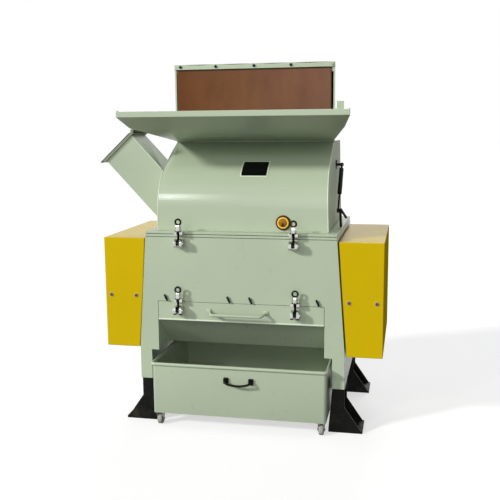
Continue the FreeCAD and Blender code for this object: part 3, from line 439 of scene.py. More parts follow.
def thread(radius, depth, start, end, pitch):
    """Profile points of a threaded stretch."""
    points = []
    turns = int((end - start) / pitch)
    for k in range(turns):
        points.append((radius, start + k * pitch))
        points.append((radius - depth, start + (k + 0.5) * pitch))
    points.append((radius, start + turns * pitch))
    return points


def tube(name, points, radius, material, body, steps=16, closed=False, spread=None):
    """A round bar along points; spread scales its radius at each point."""
    count = len(points)
    bm = bmesh.new()
    rings = []
    side = None
    for i in range(count):
        if closed:
            way = points[(i + 1) % count] - points[i - 1]
        else:
            way = points[min(i + 1, count - 1)] - points[max(i - 1, 0)]
        way.normalize()
        if side is None:
            side = way.orthogonal().normalized()
        side = (side - way * side.dot(way)).normalized()
        up = way.cross(side)
        r = radius * (spread[i] if spread else 1.0)
        ring = []
        for k in range(steps):
            a = 2 * math.pi * k / steps
            ring.append(bm.verts.new(points[i] + (side * math.cos(a) + up * math.sin(a)) * r))
        rings.append(ring)
    skin(bm, rings, closed_along=closed)
    if not closed:
        bm.faces.new(rings[0])
        bm.faces.new(rings[-1])
    return new_object(name, bm, material, body, 50.0)


def rounded_path(points, bend, steps=8):
    """The points of a polyline whose corners are arcs of radius bend."""
    path = [points[0]]
    for before, corner, after in zip(points, points[1:], points[2:]):
        into = (corner - before).normalized()
        out = (after - corner).normalized()
        half = into.angle(out) / 2.0
        centre = corner + (out - into).normalized() * (bend / math.cos(half))
        trim = bend * math.tan(half)
        first = corner - into * trim - centre
        last = corner + out * trim - centre
        for k in range(steps + 1):
            path.append(centre + first.slerp(last, k / steps).normalized() * bend)
    path.append(points[-1])
    return path


def weld(name, start, end, radius):
    """A painted weld bead: overlapping ripples of uneven size, between two points."""
    start, end = Vector(start), Vector(end)
    length = (end - start).length
    count = max(8, int(length / (radius * 0.9)))
    points = []
    spread = []
    for k in range(count + 1):
        t = k / count
        wobble = noise.noise(Vector((t * length * 60.0, 3.1, 0.7)))
        points.append(start.lerp(end, t) + UP * (wobble * radius * 0.15))
        spread.append((1.0 if k % 2 else 0.82) * (1.0 + 0.18 * wobble) * (0.6 if k in (0, count) else 1.0))
    return tube(name, points, radius, green, "machine", 10, spread=spread)


def slab(name, outline, thickness, at, along_x, along_y, material, body, bevel):
    """A flat piece cut to an outline in the plane of two directions, with broken edges."""
    along_x, along_y = Vector(along_x), Vector(along_y)
    normal = along_x.cross(along_y).normalized()
    bm = bmesh.new()
    rings = []
    for h in (0.0, thickness):
        start = Vector(at) + normal * h
        rings.append([bm.verts.new(start + along_x * a + along_y * b) for a, b in outline])
    skin(bm, rings)
    bm.faces.new(rings[0])
    bm.faces.new(rings[1])
    obj = new_object(name, bm, material, body)
    round_edges(obj, bevel)
    return obj


def rectangle(width, height, corner):
    """A rectangle with cut corners."""
    a, b = width / 2, height / 2
    inner_a, inner_b = a - corner, b - corner
    return [(-inner_a, -b), (inner_a, -b), (a, -inner_b), (a, inner_b),
            (inner_a, b), (-inner_a, b), (-a, inner_b), (-a, -inner_b)]


def hex_head(name, at, axis, across, height, material, body):
    """A hexagon head or nut with chamfered corners."""
    bm = bmesh.new()
    rings = []
    for scale, h in ((0.9, 0.0), (1.0, height * 0.08), (1.0, height * 0.9), (0.86, height)):
        corners = [polar(scale * across / math.sqrt(3), 60 * k) for k in range(6)]
        rings.append([bm.verts.new((a, b, h)) for a, b in corners])
    skin(bm, rings)
    bm.faces.new(rings[0])
    bm.faces.new(rings[-1])
    placed(bm, at, axis)
    return new_object(name, bm, material, body)


# Sheet-metal pieces keep the shape of their nodes, with broken edges
for node in ("front_plate", "rear_plate", "left_side_plate", "right_side_plate", "left_chamber_wall",
             "right_chamber_wall", "screen_flap", "front_slope", "rear_slope", "hopper_shell"):
    dressed(node, green)
for node in ("body_flange", "cover_flange"):
    dressed(node, green, 0.0028)

TRAY_LIP_Y = -0.5355
TRAY_LIP_LOW = 1.4675
TRAY_LIP_TOP = 1.4985


def trimmed_lip(at):
    """The tray's lip is drawn in by a few millimetres at its rounded lower and upper edges."""
    if at.y > TRAY_LIP_Y:
        return 0.0
    if at.z < TRAY_LIP_LOW:
        return 0.004 if at.y < TRAY_LIP_Y - 0.004 else 0.002
    return -0.0025 if TRAY_LIP_TOP < at.z < TRAY_LIP_TOP + 0.002 else 0.0


dressed("feed_tray", tray_green, 0.0024, 3, moved=trimmed_lip)
for node in ("left_front_foot", "right_front_foot", "left_rear_foot", "right_rear_foot"):
    dressed(node, black_paint, 0.0018)
dressed("clamp_mounts", chrome, 0.0018)
dressed("chute_lid", dark_steel, 0.0008)
dressed("seam_gasket", gasket_and_seam_shadow_rubber, 0.0004)
dressed("screen_cradle", dark_steel, 0.0008)
dressed("caster_forks", zinc, 0.0006)
dressed("strut_brackets", black_paint, 0.001)


# Side chute, whose collar behind the lid is a darker green: painted shade for the shadowed collar there
CHUTE_ANGLE = math.radians(47.0)
CHUTE_WAY = Vector((-math.cos(CHUTE_ANGLE), 0, math.sin(CHUTE_ANGLE)))
CHUTE_MOUTH = (-0.6295, 0, 1.3365)
CHUTE_HALF = 0.090
CHUTE_Y = (-0.250, -0.055)
CHUTE_BEAD_R = 0.0024
CHUTE_BEAD_IN = 0.0012
CHUTE_BEAD_END_X = -0.409
COLLAR_T = 0.012
LID_GAP = 0.0003


def chute_mouth():
    """How far along the duct its mouth lies, from the lid that closes it."""
    mesh = frame["nodes"]["chute_lid"].data
    return min(v.co.dot(CHUTE_WAY) for v in mesh.vertices if v.co.z < 1.33) - LID_GAP


def make_chute():
    start = chute_mouth() - COLLAR_T - 0.0005

    def on_collar(centre):
        return centre.dot(CHUTE_WAY) > start

    # Faces on the collar take the darker green, which is painted shade.
    dressed("side_chute", green, 0.001, 2, collar_painted_shade, on_collar)
    across = Vector((math.sin(CHUTE_ANGLE), 0, math.cos(CHUTE_ANGLE))) * (CHUTE_HALF - CHUTE_BEAD_IN)
    for side, y in (("front", CHUTE_Y[0] + CHUTE_BEAD_IN), ("rear", CHUTE_Y[1] - CHUTE_BEAD_IN)):
        mouth = Vector(CHUTE_MOUTH) + across
        mouth.y = y
        first = mouth - CHUTE_WAY * (COLLAR_T + 0.002)
        last = mouth + CHUTE_WAY * ((CHUTE_BEAD_END_X - mouth.x) / CHUTE_WAY.x)
        points = [first, (first + last) / 2, last]
        # The chute's edge beads are in the lighter green, a painted highlight.
        tube(f"chute_edge_{side}", points, CHUTE_BEAD_R, painted_highlight_green, "machine", 12)


make_chute()


# Belt guards stand a little off the body on an inner frame
GUARD_GAP = 0.006
GUARD_INNER = ((0.4556, 0.908), (0.472, 0.659), (0.495, 0.372))
GUARD_FRAME_INSET = 0.035
GUARD_FRAME_OUTER = 0.515
GUARD_SCREW_X = (-0.637, -0.511, 0.511, 0.637)
GUARD_WASHER = ((0.0125, 0.0), (0.0125, 0.0006), (0.0115, 0.0014), (0.004, 0.0014))


def guard_outline(inner, outer, sign):
    right = inner + [(outer, inner[-1][1]), (outer, inner[0][1])]
    return [(sign * x, z) for x, z in right]


def make_guards():
    for side, sign in SIDES:
        node = side + "_guard"
        low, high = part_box(node)
        outer = max(abs(low.x), abs(high.x))
        depth = high.y - low.y
        shell = [(x + GUARD_GAP, z) for x, z in GUARD_INNER]
        at = Vector((0, high.y, 0))
        obj = slab(node + "_dressed", guard_outline(shell, outer, sign), depth, at, RIGHT, UP, yellow,
                   "machine", 0.0035)
        obj.data.materials.append(yellow_side)
        for face in obj.data.polygons:
            face.material_index = 1 if face.normal.x * sign > 0.9 or face.normal.z < -0.9 else 0
        stands_for(obj, node)
        inset = GUARD_FRAME_INSET
        top, middle, bottom = GUARD_INNER
        core = [(top[0], top[1] - inset), middle, (bottom[0], bottom[1] + inset)]
        slab(side + "_guard_frame", guard_outline(core, GUARD_FRAME_OUTER, sign), depth - 2 * inset,
             at - Vector((0, inset, 0)), RIGHT, UP, black_paint, "machine", 0.001)


def make_guard_screws():
    low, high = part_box("guard_screws")
    z = (low.z + high.z) / 2
    y = high.y
    first = None
    for k, x in enumerate(GUARD_SCREW_X):
        lathe(f"guard_washer_{k}", GUARD_WASHER, (x, y, z), FRONT, washer_tan, "machine", 32)
        head = hex_head(f"guard_screw_{k}", (x, y - 0.0012, z), FRONT, 0.0135, 0.0038, screw_brown,
                        "machine")
        first = first or head
    stands_for(first, "guard_screws")


make_guards()
make_guard_screws()


# Cover front, in profile: upright, a bend, then a slope
BEND_CUTS = 24
COVER_SKIN = 0.012
EDGE_ROUND = 0.0030
EDGE_BEAD_R = 0.003
EDGE_BEAD_IN = 0.0018
EDGE_BEAD_POINTS = 40
COVER_FOOT = 0.943
COVER_TOP = 1.355
COVER_HALF_LOW = 0.4107
COVER_HALF_TOP = 0.400
COVER_Y = -0.330
BEND_R = 0.230
BEND_Z = 1.04364
COVER_SLOPE = math.radians(27.5)
BEND_ANGLE = math.radians(90.0) - COVER_SLOPE
BEND_CENTRE = Vector((0, COVER_Y + BEND_R, BEND_Z))


def cover_front(run, lift):
    """The point and outward normal at a run along the profile above the start of the bend."""
    angle = max(0.0, min(run / BEND_R, BEND_ANGLE))
    normal = Vector((0, -math.cos(angle), math.sin(angle)))
    onwards = Vector((0, math.sin(angle), math.cos(angle)))
    return BEND_CENTRE + normal * (BEND_R + lift) + onwards * (run - angle * BEND_R)


def run_at(z):
    """The run along the profile at a height."""
    top = BEND_Z + BEND_R * math.sin(BEND_ANGLE)
    if z <= BEND_Z:
        return z - BEND_Z
    if z <= top:
        return BEND_R * math.asin((z - BEND_Z) / BEND_R)
    return BEND_ANGLE * BEND_R + (z - top) / math.cos(BEND_ANGLE)


def depth_below_front(y, z):
    """How deep a point lies under the outer profile of the front."""
    if z < BEND_Z:
        return y - COVER_Y
    if math.atan2(z - BEND_Z, BEND_CENTRE.y - y) <= BEND_ANGLE:
        return BEND_R - math.hypot(y - BEND_CENTRE.y, z - BEND_Z)
    end = cover_front(BEND_R * BEND_ANGLE, 0.0)
    return (y - end.y) * math.sin(COVER_SLOPE) - (z - end.z) * math.cos(COVER_SLOPE)


def is_bend_facet(face):
    """Whether a face belongs to the bend, outside or inside."""
    point = face.calc_center_median()
    angle = math.atan2(point.z - BEND_Z, BEND_CENTRE.y - point.y)
    near = abs(depth_below_front(point.y, point.z)) < COVER_SKIN
    return abs(face.normal.x) < 0.1 and near and 0.001 < angle < BEND_ANGLE - 0.001


def cover_half(z):
    """Half the width of the cover at a height."""
    share = (z - COVER_FOOT) / (COVER_TOP - COVER_FOOT)
    return COVER_HALF_LOW + (COVER_HALF_TOP - COVER_HALF_LOW) * share


def cut_bend(bm):
    """Cuts the bend's facets finer and puts their corners on the true radius."""
    radii = set()
    for face in bm.faces:
        if is_bend_facet(face):
            for v in face.verts:
                radii.add(round(math.hypot(v.co.y - BEND_CENTRE.y, v.co.z - BEND_CENTRE.z), 4))
    for k in range(1, BEND_CUTS):
        angle = BEND_ANGLE * k / BEND_CUTS
        facets = [f for f in bm.faces if is_bend_facet(f)]
        geometry = set(facets)
        for face in facets:
            geometry.update(face.edges)
            geometry.update(face.verts)
        bmesh.ops.bisect_plane(bm, geom=list(geometry), dist=1e-6, plane_co=BEND_CENTRE,
                               plane_no=Vector((0, math.sin(angle), math.cos(angle))))
    for face in [f for f in bm.faces if is_bend_facet(f)]:
        for vertex in face.verts:
            away = vertex.co - BEND_CENTRE
            away.x = 0.0
            true = min(radii, key=lambda r: abs(r - away.length))
            if abs(true - away.length) < 0.0025:
                vertex.co += away.normalized() * (true - away.length)
    bm.normal_update()


def cover_corners(bm):
    """The outer edges between the front and the sides."""
    corners = []
    for edge in bm.edges:
        if len(edge.link_faces) != 2:
            continue
        outward = max(f.normal.x * math.copysign(1.0, f.calc_center_median().x) for f in edge.link_faces)
        flat = min(abs(f.normal.x) for f in edge.link_faces)
        depth = max(abs(depth_below_front(v.co.y, v.co.z)) for v in edge.verts)
        if outward > 0.9 and flat < 0.1 and depth < 0.0006:
            corners.append(edge)
    return corners


def make_cover():
    """The cover with a smooth bend and rounded side edges, and a bead along each of them in a lighter
    green, a painted highlight along the edge.
    """
    bm = bmesh.new()
    bm.from_mesh(frame["nodes"]["cover_shell"].data)
    bmesh.ops.remove_doubles(bm, verts=bm.verts, dist=1e-6)
    bmesh.ops.dissolve_limit(bm, angle_limit=math.radians(1.0), verts=bm.verts, edges=bm.edges)
    cut_bend(bm)
    bmesh.ops.bevel(bm, geom=cover_corners(bm), offset=EDGE_ROUND, segments=4, profile=0.5,
                    affect="EDGES", clamp_overlap=True)
    for face in bm.faces:
        face.material_index = 1 if abs(face.normal.x) > 0.95 else 0
    obj = new_object("cover_dressed", bm, cover_green, "machine")
    obj.data.materials.append(cover_side)
    even = obj.modifiers.new("normals", "WEIGHTED_NORMAL")
    even.keep_sharp = True
    stands_for(obj, "cover_shell")
    for side, sign in SIDES:
        points = []
        for k in range(EDGE_BEAD_POINTS + 1):
            z = COVER_FOOT + 0.003 + (COVER_TOP - COVER_FOOT - 0.012) * k / EDGE_BEAD_POINTS
            at = cover_front(run_at(z), -EDGE_BEAD_IN)
            points.append(Vector((sign * (cover_half(z) - EDGE_BEAD_IN), at.y, z)))
        # The cover's edge beads take the lighter green, a painted highlight.
        tube(f"cover_edge_{side}", points, EDGE_BEAD_R, painted_highlight_green, "machine", 14)


def cover_patch(name, x0, x1, z0, z1, lift, thickness, material):
    """A thin plate that follows the cover's front."""
    bm = bmesh.new()
    steps = 14
    run0, run1 = run_at(z0), run_at(z1)
    grids = []
    for height in (lift, lift + thickness):
        rows = []
        for k in range(steps + 1):
            point = cover_front(run0 + (run1 - run0) * k / steps, height)
            rows.append([bm.verts.new(Vector((x, point.y, point.z))) for x in (x0, x1)])
        grids.append(rows)
    for rows in grids:
        skin(bm, rows, closed_across=False)
    back, face = grids
    for k in range(steps):
        for end in (0, 1):
            bm.faces.new((back[k][end], back[k + 1][end], face[k + 1][end], face[k][end]))
    for k in (0, steps):
        bm.faces.new((back[k][0], back[k][1], face[k][1], face[k][0]))
    obj = new_object(name, bm, material, "machine")
    round_edges(obj, 0.0004, 1)
    return obj


PLATE_GROWS_LOW = Vector((0.006, 0, 0.010))
PLATE_GROWS_HIGH = Vector((0.009, 0, 0.004))
PLATE_BORDER = 0.0055
RIVET = ((0.0022, 0.0), (0.0021, 0.0006), (0.0013, 0.0012), (0.0, 0.0014))


def make_plate():
    low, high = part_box("name_plate")
    low, high = low - PLATE_GROWS_LOW, high + PLATE_GROWS_HIGH
    edge = PLATE_BORDER
    back = cover_patch("plate_back", low.x, high.x, low.z, high.z - 0.001, 0.0002, 0.002, plate_edge)
    stands_for(back, "name_plate")
    cover_patch("plate_face", low.x + edge, high.x - edge, low.z + edge * 0.8, high.z - edge * 0.8,
                0.0018, 0.001, plate_black)
    for k, x in enumerate((low.x + 0.0075, high.x - 0.0075)):
        for j, z in enumerate((low.z + 0.0075, high.z - 0.009)):
            at = cover_front(run_at(z), 0.0026)
            normal = cover_front(run_at(z), 1.0) - cover_front(run_at(z), 0.0)
            lathe(f"plate_rivet_{k}{j}", RIVET, (x, at.y, at.z), normal, zinc, "machine", 14)


LOCK_BASE = ((0.035, 0.0), (0.035, 0.006), (0.0335, 0.0085), (0.030, 0.009), (0.027, 0.009))
LOCK_RING = ((0.027, 0.008), (0.0268, 0.0125), (0.0245, 0.0155), (0.0215, 0.0155), (0.0195, 0.0135),
             (0.0195, 0.008))
LOCK_CORE = ((0.0197, 0.008), (0.0195, 0.0125), (0.017, 0.0165), (0.010, 0.019), (0.0, 0.0195))
KEYHOLE_R = 0.0045
KEYHOLE_FOOT = ((-0.0065, -0.0155), (0.0065, -0.0155))


def make_lock():
    low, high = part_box("lock_knob")
    at = Vector(((low.x + high.x) / 2, high.y, (low.z + high.z) / 2))
    stands_for(lathe("lock_base", LOCK_BASE, at, FRONT, knob_brown, "machine", 64), "lock_knob")
    lathe("lock_ring", LOCK_RING, at, FRONT, knob_yellow, "machine", 64, hollow=True)
    lathe("lock_core", LOCK_CORE, at, FRONT, knob_amber, "machine", 48)
    head = [polar(KEYHOLE_R, a) for a in range(-10, 191, 20)]
    drop = [(a, b - 0.003) for a, b in head] + list(KEYHOLE_FOOT)
    slab("lock_keyhole", drop, 0.0085, at + FRONT * 0.0115, RIGHT, UP, keyhole_dark, "machine", 0.0006)


make_cover()
make_plate()
make_lock()


# Curtain: a hanging rubber sheet, held behind the strip, that waves a little lower down
CURTAIN_T = 0.004
CURTAIN_FORWARD = 0.0035
CURTAIN_WAVE = 0.0045
CURTAIN_HELD = 0.046
CURTAIN_LEFT_GAP = 0.002
CURTAIN_RIGHT_GAP = 0.008


def make_curtain():
    low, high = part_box("curtain")
    x0, x1 = low.x + CURTAIN_LEFT_GAP, high.x - CURTAIN_RIGHT_GAP
    held = high.z - CURTAIN_HELD
    columns, rows = 90, 44
    bm = bmesh.new()
    grid = []
    for j in range(rows + 1):
        z = low.z + (high.z - low.z) * j / rows
        slack = max(0.0, (held - z) / (held - low.z)) ** 1.3
        line = []
        for i in range(columns + 1):
            x = x0 + (x1 - x0) * i / columns
            wave = math.sin(x * 11.0 + 0.6) * 0.55 + noise.noise(Vector((x * 3.2, 2.0, z * 1.8))) * 1.1
            y = low.y + 0.0022 - (CURTAIN_FORWARD + CURTAIN_WAVE * wave) * slack
            line.append(bm.verts.new((x, y, z)))
        grid.append(line)
    skin(bm, grid, closed_across=False)
    material = curtain_rubber(high.x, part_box("curtain_strip")[0].z)
    obj = new_object("rubber_curtain", bm, material, "machine", 60.0)
    thick = obj.modifiers.new("thickness", "SOLIDIFY")
    thick.thickness = CURTAIN_T
    thick.offset = 0.0
    stands_for(obj, "curtain")


STRIP_BOLTS = (-0.372, -0.190, 0.004, 0.188, 0.392)
STRIP_SAG = 0.0028
STRIP_SAG_REACH = 0.09


def make_strip():
    """The folded strip that clamps the curtain; its top edge is pulled down between the bolts."""
    low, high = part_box("curtain_strip")
    columns = 120
    bm = bmesh.new()
    rings = []
    for i in range(columns + 1):
        x = low.x + (high.x - low.x) * i / columns
        near = min(abs(x - b) for b in STRIP_BOLTS)
        sag = STRIP_SAG * (1.0 - math.cos(min(1.0, near / STRIP_SAG_REACH) * math.pi)) / 2
        top = high.z - sag - 0.0006 * (1 + noise.noise(Vector((x * 25.0, 0.3, 0.0))))
        bottom = low.z + 0.0005 * (1 + noise.noise(Vector((x * 14.0, 5.0, 0.0))))
        section = [(low.y + 0.001, bottom), (low.y, bottom + 0.001), (low.y, top - 0.002),
                   (low.y + 0.002, top), (high.y, top), (high.y, bottom)]
        rings.append([bm.verts.new((x, y, z)) for y, z in section])
    skin(bm, rings)
    bm.faces.new(rings[0])
    bm.faces.new(rings[-1])
    obj = new_object("curtain_strip_dressed", bm, green, "machine", 40.0)
    stands_for(obj, "curtain_strip")
    z = (low.z + high.z) / 2 + 0.001
    for k, x in enumerate(STRIP_BOLTS):
        material = black_steel_and_painted_reflection if k < 4 else zinc
        hex_head(f"strip_bolt_{k}", (x, low.y + 0.0002, z), FRONT, 0.013, 0.0065, material, "machine")


make_strip()
make_curtain()


# Swing bolts: eye, threaded shank, long nut and ring
EYE_R = 0.011
EYE_HALF = 0.0075
PIN_BORE_R = 0.0053
SHANK_R = 0.006
THREAD_DEPTH = 0.0007
THREAD_PITCH = 0.0018
NUT_H = 0.032
NUT_ACROSS = 0.026
PIN_HALF = 0.021
RING_OUTER_R = 0.0175
RING_BAR_R = 0.0045
NUT_FLANGE = ((0.0146, 0.0), (0.015, 0.0008), (0.0142, 0.0032), (0.012, 0.0042))
PIN_HEAD = ((0.0072, -0.0005), (0.0072, 0.0018), (0.006, 0.0028), (0.0, 0.003))
CLAMP_NAMES = ("upper_left", "upper_right", "lower_left", "lower_right")


def make_swing_bolts():
    for name in CLAMP_NAMES:
        node = name + "_swing_bolt"
        body = name + "_bolt_body"
        low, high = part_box(node)
        x, y = (low.x + high.x) / 2, (low.y + high.y) / 2
        pin_z = low.z + EYE_R
        ring_z = high.z - RING_OUTER_R
        nut_top = ring_z - (RING_OUTER_R - RING_BAR_R)
        nut_low = nut_top - NUT_H
        eye = [(PIN_BORE_R, -EYE_HALF + 0.001), (EYE_R - 0.0015, -EYE_HALF), (EYE_R, -EYE_HALF + 0.0015),
               (EYE_R, EYE_HALF - 0.0015), (EYE_R - 0.0015, EYE_HALF), (PIN_BORE_R, EYE_HALF - 0.001)]
        pin_at = (x, y, pin_z)
        stands_for(lathe(name + "_eye", eye, pin_at, RIGHT, black_steel_and_painted_reflection, body, 40, hollow=True), node)
        threaded = thread(SHANK_R, THREAD_DEPTH, EYE_R + 0.006, nut_low - pin_z + 0.004, THREAD_PITCH)
        lathe(name + "_shank", [(SHANK_R, EYE_R * 0.75)] + threaded, pin_at, UP, black_steel_and_painted_reflection, body, 28)
        lathe(name + "_nut_flange", NUT_FLANGE, (x, y, nut_low), UP, black_steel_and_painted_reflection, body, 40)
        hex_head(name + "_nut", (x, y, nut_low + 0.003), UP, NUT_ACROSS, NUT_H - 0.003, chrome, body)
        circle = [polar(RING_OUTER_R - RING_BAR_R, 9 * k) for k in range(40)]
        points = [Vector((x + a, y, ring_z + b)) for a, b in circle]
        # The ring is black: a painted reflection, the dark surroundings seen in its chrome.
        tube(name + "_ring", points, RING_BAR_R, black_steel_and_painted_reflection, body, 16, closed=True)
        for side, sign in SIDES:
            lathe(f"{name}_pin_head_{side}", PIN_HEAD, (x + sign * PIN_HALF, y, pin_z), RIGHT * sign,
                  chrome, "machine", 28)


make_swing_bolts()


# Handles
FRONT_Y = -0.380
FLAP_BAR_R = 0.0065
FLAP_BAR_BEND = 0.016
FLAP_BAR_INSET = 0.017
FLAP_BAR_Z = 0.558
FLAP_ROOT_Z = 0.566
FLAP_ROOT = ((0.0125, 0.0), (0.0125, 0.003), (0.0105, 0.006), (0.0075, 0.008), (0.0068, 0.009))


def make_flap_handle():
    low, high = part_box("flap_handle")
    left, right = low.x + FLAP_BAR_R, high.x - FLAP_BAR_R
    root_y, bar_y = FRONT_Y + 0.001, low.y + FLAP_BAR_R
    points = [Vector((left, root_y, FLAP_ROOT_Z)), Vector((left + FLAP_BAR_INSET, bar_y, FLAP_BAR_Z)),
              Vector((right - FLAP_BAR_INSET, bar_y, FLAP_BAR_Z)), Vector((right, root_y, FLAP_ROOT_Z))]
    obj = tube("flap_handle_bar", rounded_path(points, FLAP_BAR_BEND), FLAP_BAR_R, green, "machine", 20)
    stands_for(obj, "flap_handle")
    for k, x in enumerate((left, right)):
        lathe(f"flap_handle_root_{k}", FLAP_ROOT, (x, FRONT_Y, FLAP_ROOT_Z), FRONT, green, "machine", 28)


BOW_R = 0.0054
BOW_HALF = 0.060
BOW_Z = 0.249
BOW_SAG = 0.011
BOW_STEPS = 24


def make_bin_handle():
    """A bow that stands off the bin between two bosses and sags a little."""
    low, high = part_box("bin_handle")
    y_face, y_bar = high.y, low.y + 0.007
    middle = (low.x + high.x) / 2
    half, z = BOW_HALF, BOW_Z
    points = [Vector((middle - half, y_face - 0.004, z)),
              Vector((middle - half, y_face - 0.018, z - 0.001))]
    for k in range(BOW_STEPS + 1):
        t = 2.0 * k / BOW_STEPS - 1.0
        bow = 1.0 - t * t
        reach = min(1.0, (1.0 - abs(t)) * 6.0) ** 0.5
        y = (y_face - 0.022) * (1 - reach) + y_bar * reach
        points.append(Vector((middle + t * (half - 0.001), y, z - 0.003 - BOW_SAG * bow)))
    points.append(Vector((middle + half, y_face - 0.018, z - 0.001)))
    points.append(Vector((middle + half, y_face - 0.004, z)))
    obj = tube("bin_handle_bow", points, BOW_R, black_plastic, "bin", 18)
    stands_for(obj, "bin_handle")
    for k, x in enumerate((middle - half, middle + half)):
        slab(f"bin_handle_boss_{k}", rectangle(0.024, 0.030, 0.003), 0.010, (x, y_face, z), RIGHT, UP,
             black_plastic, "bin", 0.002)


LATCH_X = (-0.357, -0.051, 0.054, 0.369)
LATCH_LENGTH = 0.036
LATCH_WIDTH = 0.0085
LATCH_LEAN = math.radians(24.0)
LATCH_STEM = ((0.0045, 0.0), (0.0045, 0.0125), (0.0035, 0.0135))


def make_latches():
    """Turn latches that hold the flap, all left at the same slant."""
    low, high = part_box("front_studs")
    z = (low.z + high.z) / 2
    long_way = Vector((-math.sin(LATCH_LEAN), 0, math.cos(LATCH_LEAN)))
    across = Vector((math.cos(LATCH_LEAN), 0, math.sin(LATCH_LEAN)))
    first = None
    for k, x in enumerate(LATCH_X):
        at = (x, high.y - 0.006, z)
        bar = slab(f"flap_latch_{k}", rectangle(LATCH_WIDTH, LATCH_LENGTH, 0.003), 0.005, at, across,
                   long_way, black_gloss, "machine", 0.001)
        first = first or bar
        lathe(f"flap_latch_stem_{k}", LATCH_STEM, (x, high.y, z), FRONT, black_gloss, "machine", 20)
    stands_for(first, "front_studs")


def make_flap_lip():
    """The flap's lower edge is folded forwards into a narrow half-round lip, in a lighter green as a
    painted highlight.
    """
    low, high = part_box("screen_flap")
    shares = (-0.997, -0.5, 0.0, 0.5, 0.997)
    points = [Vector((high.x * t, FRONT_Y + 0.001, low.z + 0.003)) for t in shares]
    tube("flap_lip", points, 0.0046, painted_highlight_green, "machine", 16)


def make_seam_shadow():
    """A dark strip in the groove under the body flange: painted shadow for the shade line there."""
    low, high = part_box("body_flange")
    shares = (-0.998, -0.5, 0.0, 0.5, 0.998)
    points = [Vector((high.x * t, low.y + 0.0012, low.z)) for t in shares]
    tube("body_seam_shadow", points, 0.0014, gasket_and_seam_shadow_rubber, "machine", 10)


make_flap_handle()
make_bin_handle()
make_latches()
make_flap_lip()
make_seam_shadow()


# Bin: folded sheet with a rolled rim
BIN_RIM_OUT = 0.010
BIN_WALL = 0.003
BIN_ROLL_R = 0.0082
BIN_CORNER = 0.014


def swept_loop(name, half, y0, y1, corner, profile, material, body):
    """An open box: a profile of (outwards, height) carried round a rectangle with round corners."""
    bm = bmesh.new()
    plan = []
    arc = 6
    for cx, cy, first in ((half - corner, y1 - corner, 0), (-half + corner, y1 - corner, 90),
                          (-half + corner, y0 + corner, 180), (half - corner, y0 + corner, 270)):
        for k in range(arc + 1):
            a = math.radians(first + 90.0 * k / arc)
            plan.append((cx, cy, math.cos(a), math.sin(a)))
    rings = []
    for out, z in profile:
        reach = corner + out
        rings.append([bm.verts.new((cx + reach * c, cy + reach * s, z)) for cx, cy, c, s in plan])
    skin(bm, rings)
    bm.faces.new(rings[0])
    bm.faces.new(rings[-1])
    return new_object(name, bm, material, body)


def make_bin():
    low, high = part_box("bin_box")
    half = high.x - BIN_RIM_OUT
    y0, y1 = low.y + BIN_RIM_OUT, high.y - BIN_RIM_OUT
    roll_z = high.z - BIN_ROLL_R
    roll_out = BIN_RIM_OUT - BIN_ROLL_R
    profile = [(-0.002, low.z), (-0.0006, low.z + 0.0006), (0.0, low.z + 0.002),
               (0.0, roll_z - BIN_ROLL_R * 0.8)]
    for degrees in range(-70, 181, 25):
        out, up = polar(BIN_ROLL_R, degrees)
        profile.append((roll_out + out, roll_z + up))
    profile += [(-BIN_WALL, roll_z - 0.006), (-BIN_WALL, low.z + 0.006),
                (-BIN_WALL - 0.003, low.z + BIN_WALL)]
    obj = swept_loop("bin_body", half, y0, y1, BIN_CORNER, profile, green, "bin")
    stands_for(obj, "bin_box")


make_bin()


# Casters
AXLE_R = 0.0045
HUB_R = 0.0085
RIM_R = 0.017


def make_wheels():
    for name in ("front_left", "front_right", "rear_left", "rear_right"):
        node = name + "_wheel"
        low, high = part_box(node)
        at = (low + high) / 2
        half = (high.x - low.x) / 2
        r = (high.z - low.z) / 2
        body = name + "_wheel_body"
        outside = [(RIM_R, half - 0.003), (RIM_R + 0.0025, half - 0.0015), (r - 0.003, half),
                   (r - 0.0008, half - 0.0025), (r, half - 0.006)]
        tyre = [(a, -b) for a, b in outside] + outside[::-1]
        stands_for(lathe(name + "_tyre", tyre, at, RIGHT, tyre_grey, body, 56, hollow=True), node)
        inside = [(AXLE_R, half), (HUB_R - 0.0005, half), (HUB_R, half - 0.002),
                  (RIM_R + 0.0002, half - 0.0045)]
        hub = [(a, -b) for a, b in inside] + inside[::-1]
        lathe(name + "_hub", hub, at, RIGHT, tyre_grey, body, 40, hollow=True)
        for side, sign in SIDES:
            hex_head(f"{name}_axle_nut_{side}", at + RIGHT * (sign * (half + 0.0038)), RIGHT * sign,
                     0.011, 0.004, zinc, "bin")


make_wheels()


# Gas strut
STRUT_LOW = Vector((0.432, -0.095, 1.022))
STRUT_TOP = Vector((0.432, 0.090, 1.236))
STRUT_ROD_SHARE = 0.36
STRUT_EYE = ((0.0045, -0.006), (0.0092, -0.006), (0.010, -0.005), (0.010, 0.005), (0.0092, 0.006),
             (0.0045, 0.006))
STRUT_PIVOT = ((0.0045, -0.0062), (0.0045, 0.0062), (0.0075, 0.0064), (0.007, 0.0095), (0.004, 0.0105),
               (0.0, 0.0107))


def make_strut():
    low, top = STRUT_LOW, STRUT_TOP
    way = top - low
    length = way.length
    way.normalize()
    split = length * STRUT_ROD_SHARE
    lathe("strut_rod", [(0.0048, 0.004), (0.0048, split + 0.01)], low, way, black_steel_and_painted_reflection, "machine", 24)
    body = [(0.0075, split), (0.0105, split + 0.0015), (0.011, split + 0.004), (0.011, length - 0.030),
            (0.0095, length - 0.0255), (0.005, length - 0.024), (0.005, length - 0.006)]
    stands_for(lathe("strut_body", body, low, way, black_gloss, "machine", 36), "gas_strut")
    for k, end in enumerate((low, top)):
        lathe(f"strut_eye_{k}", STRUT_EYE, end, RIGHT, black_gloss, "machine", 36, hollow=True)
        lathe(f"strut_pivot_{k}", STRUT_PIVOT, end, RIGHT, zinc, "machine", 28)


make_strut()


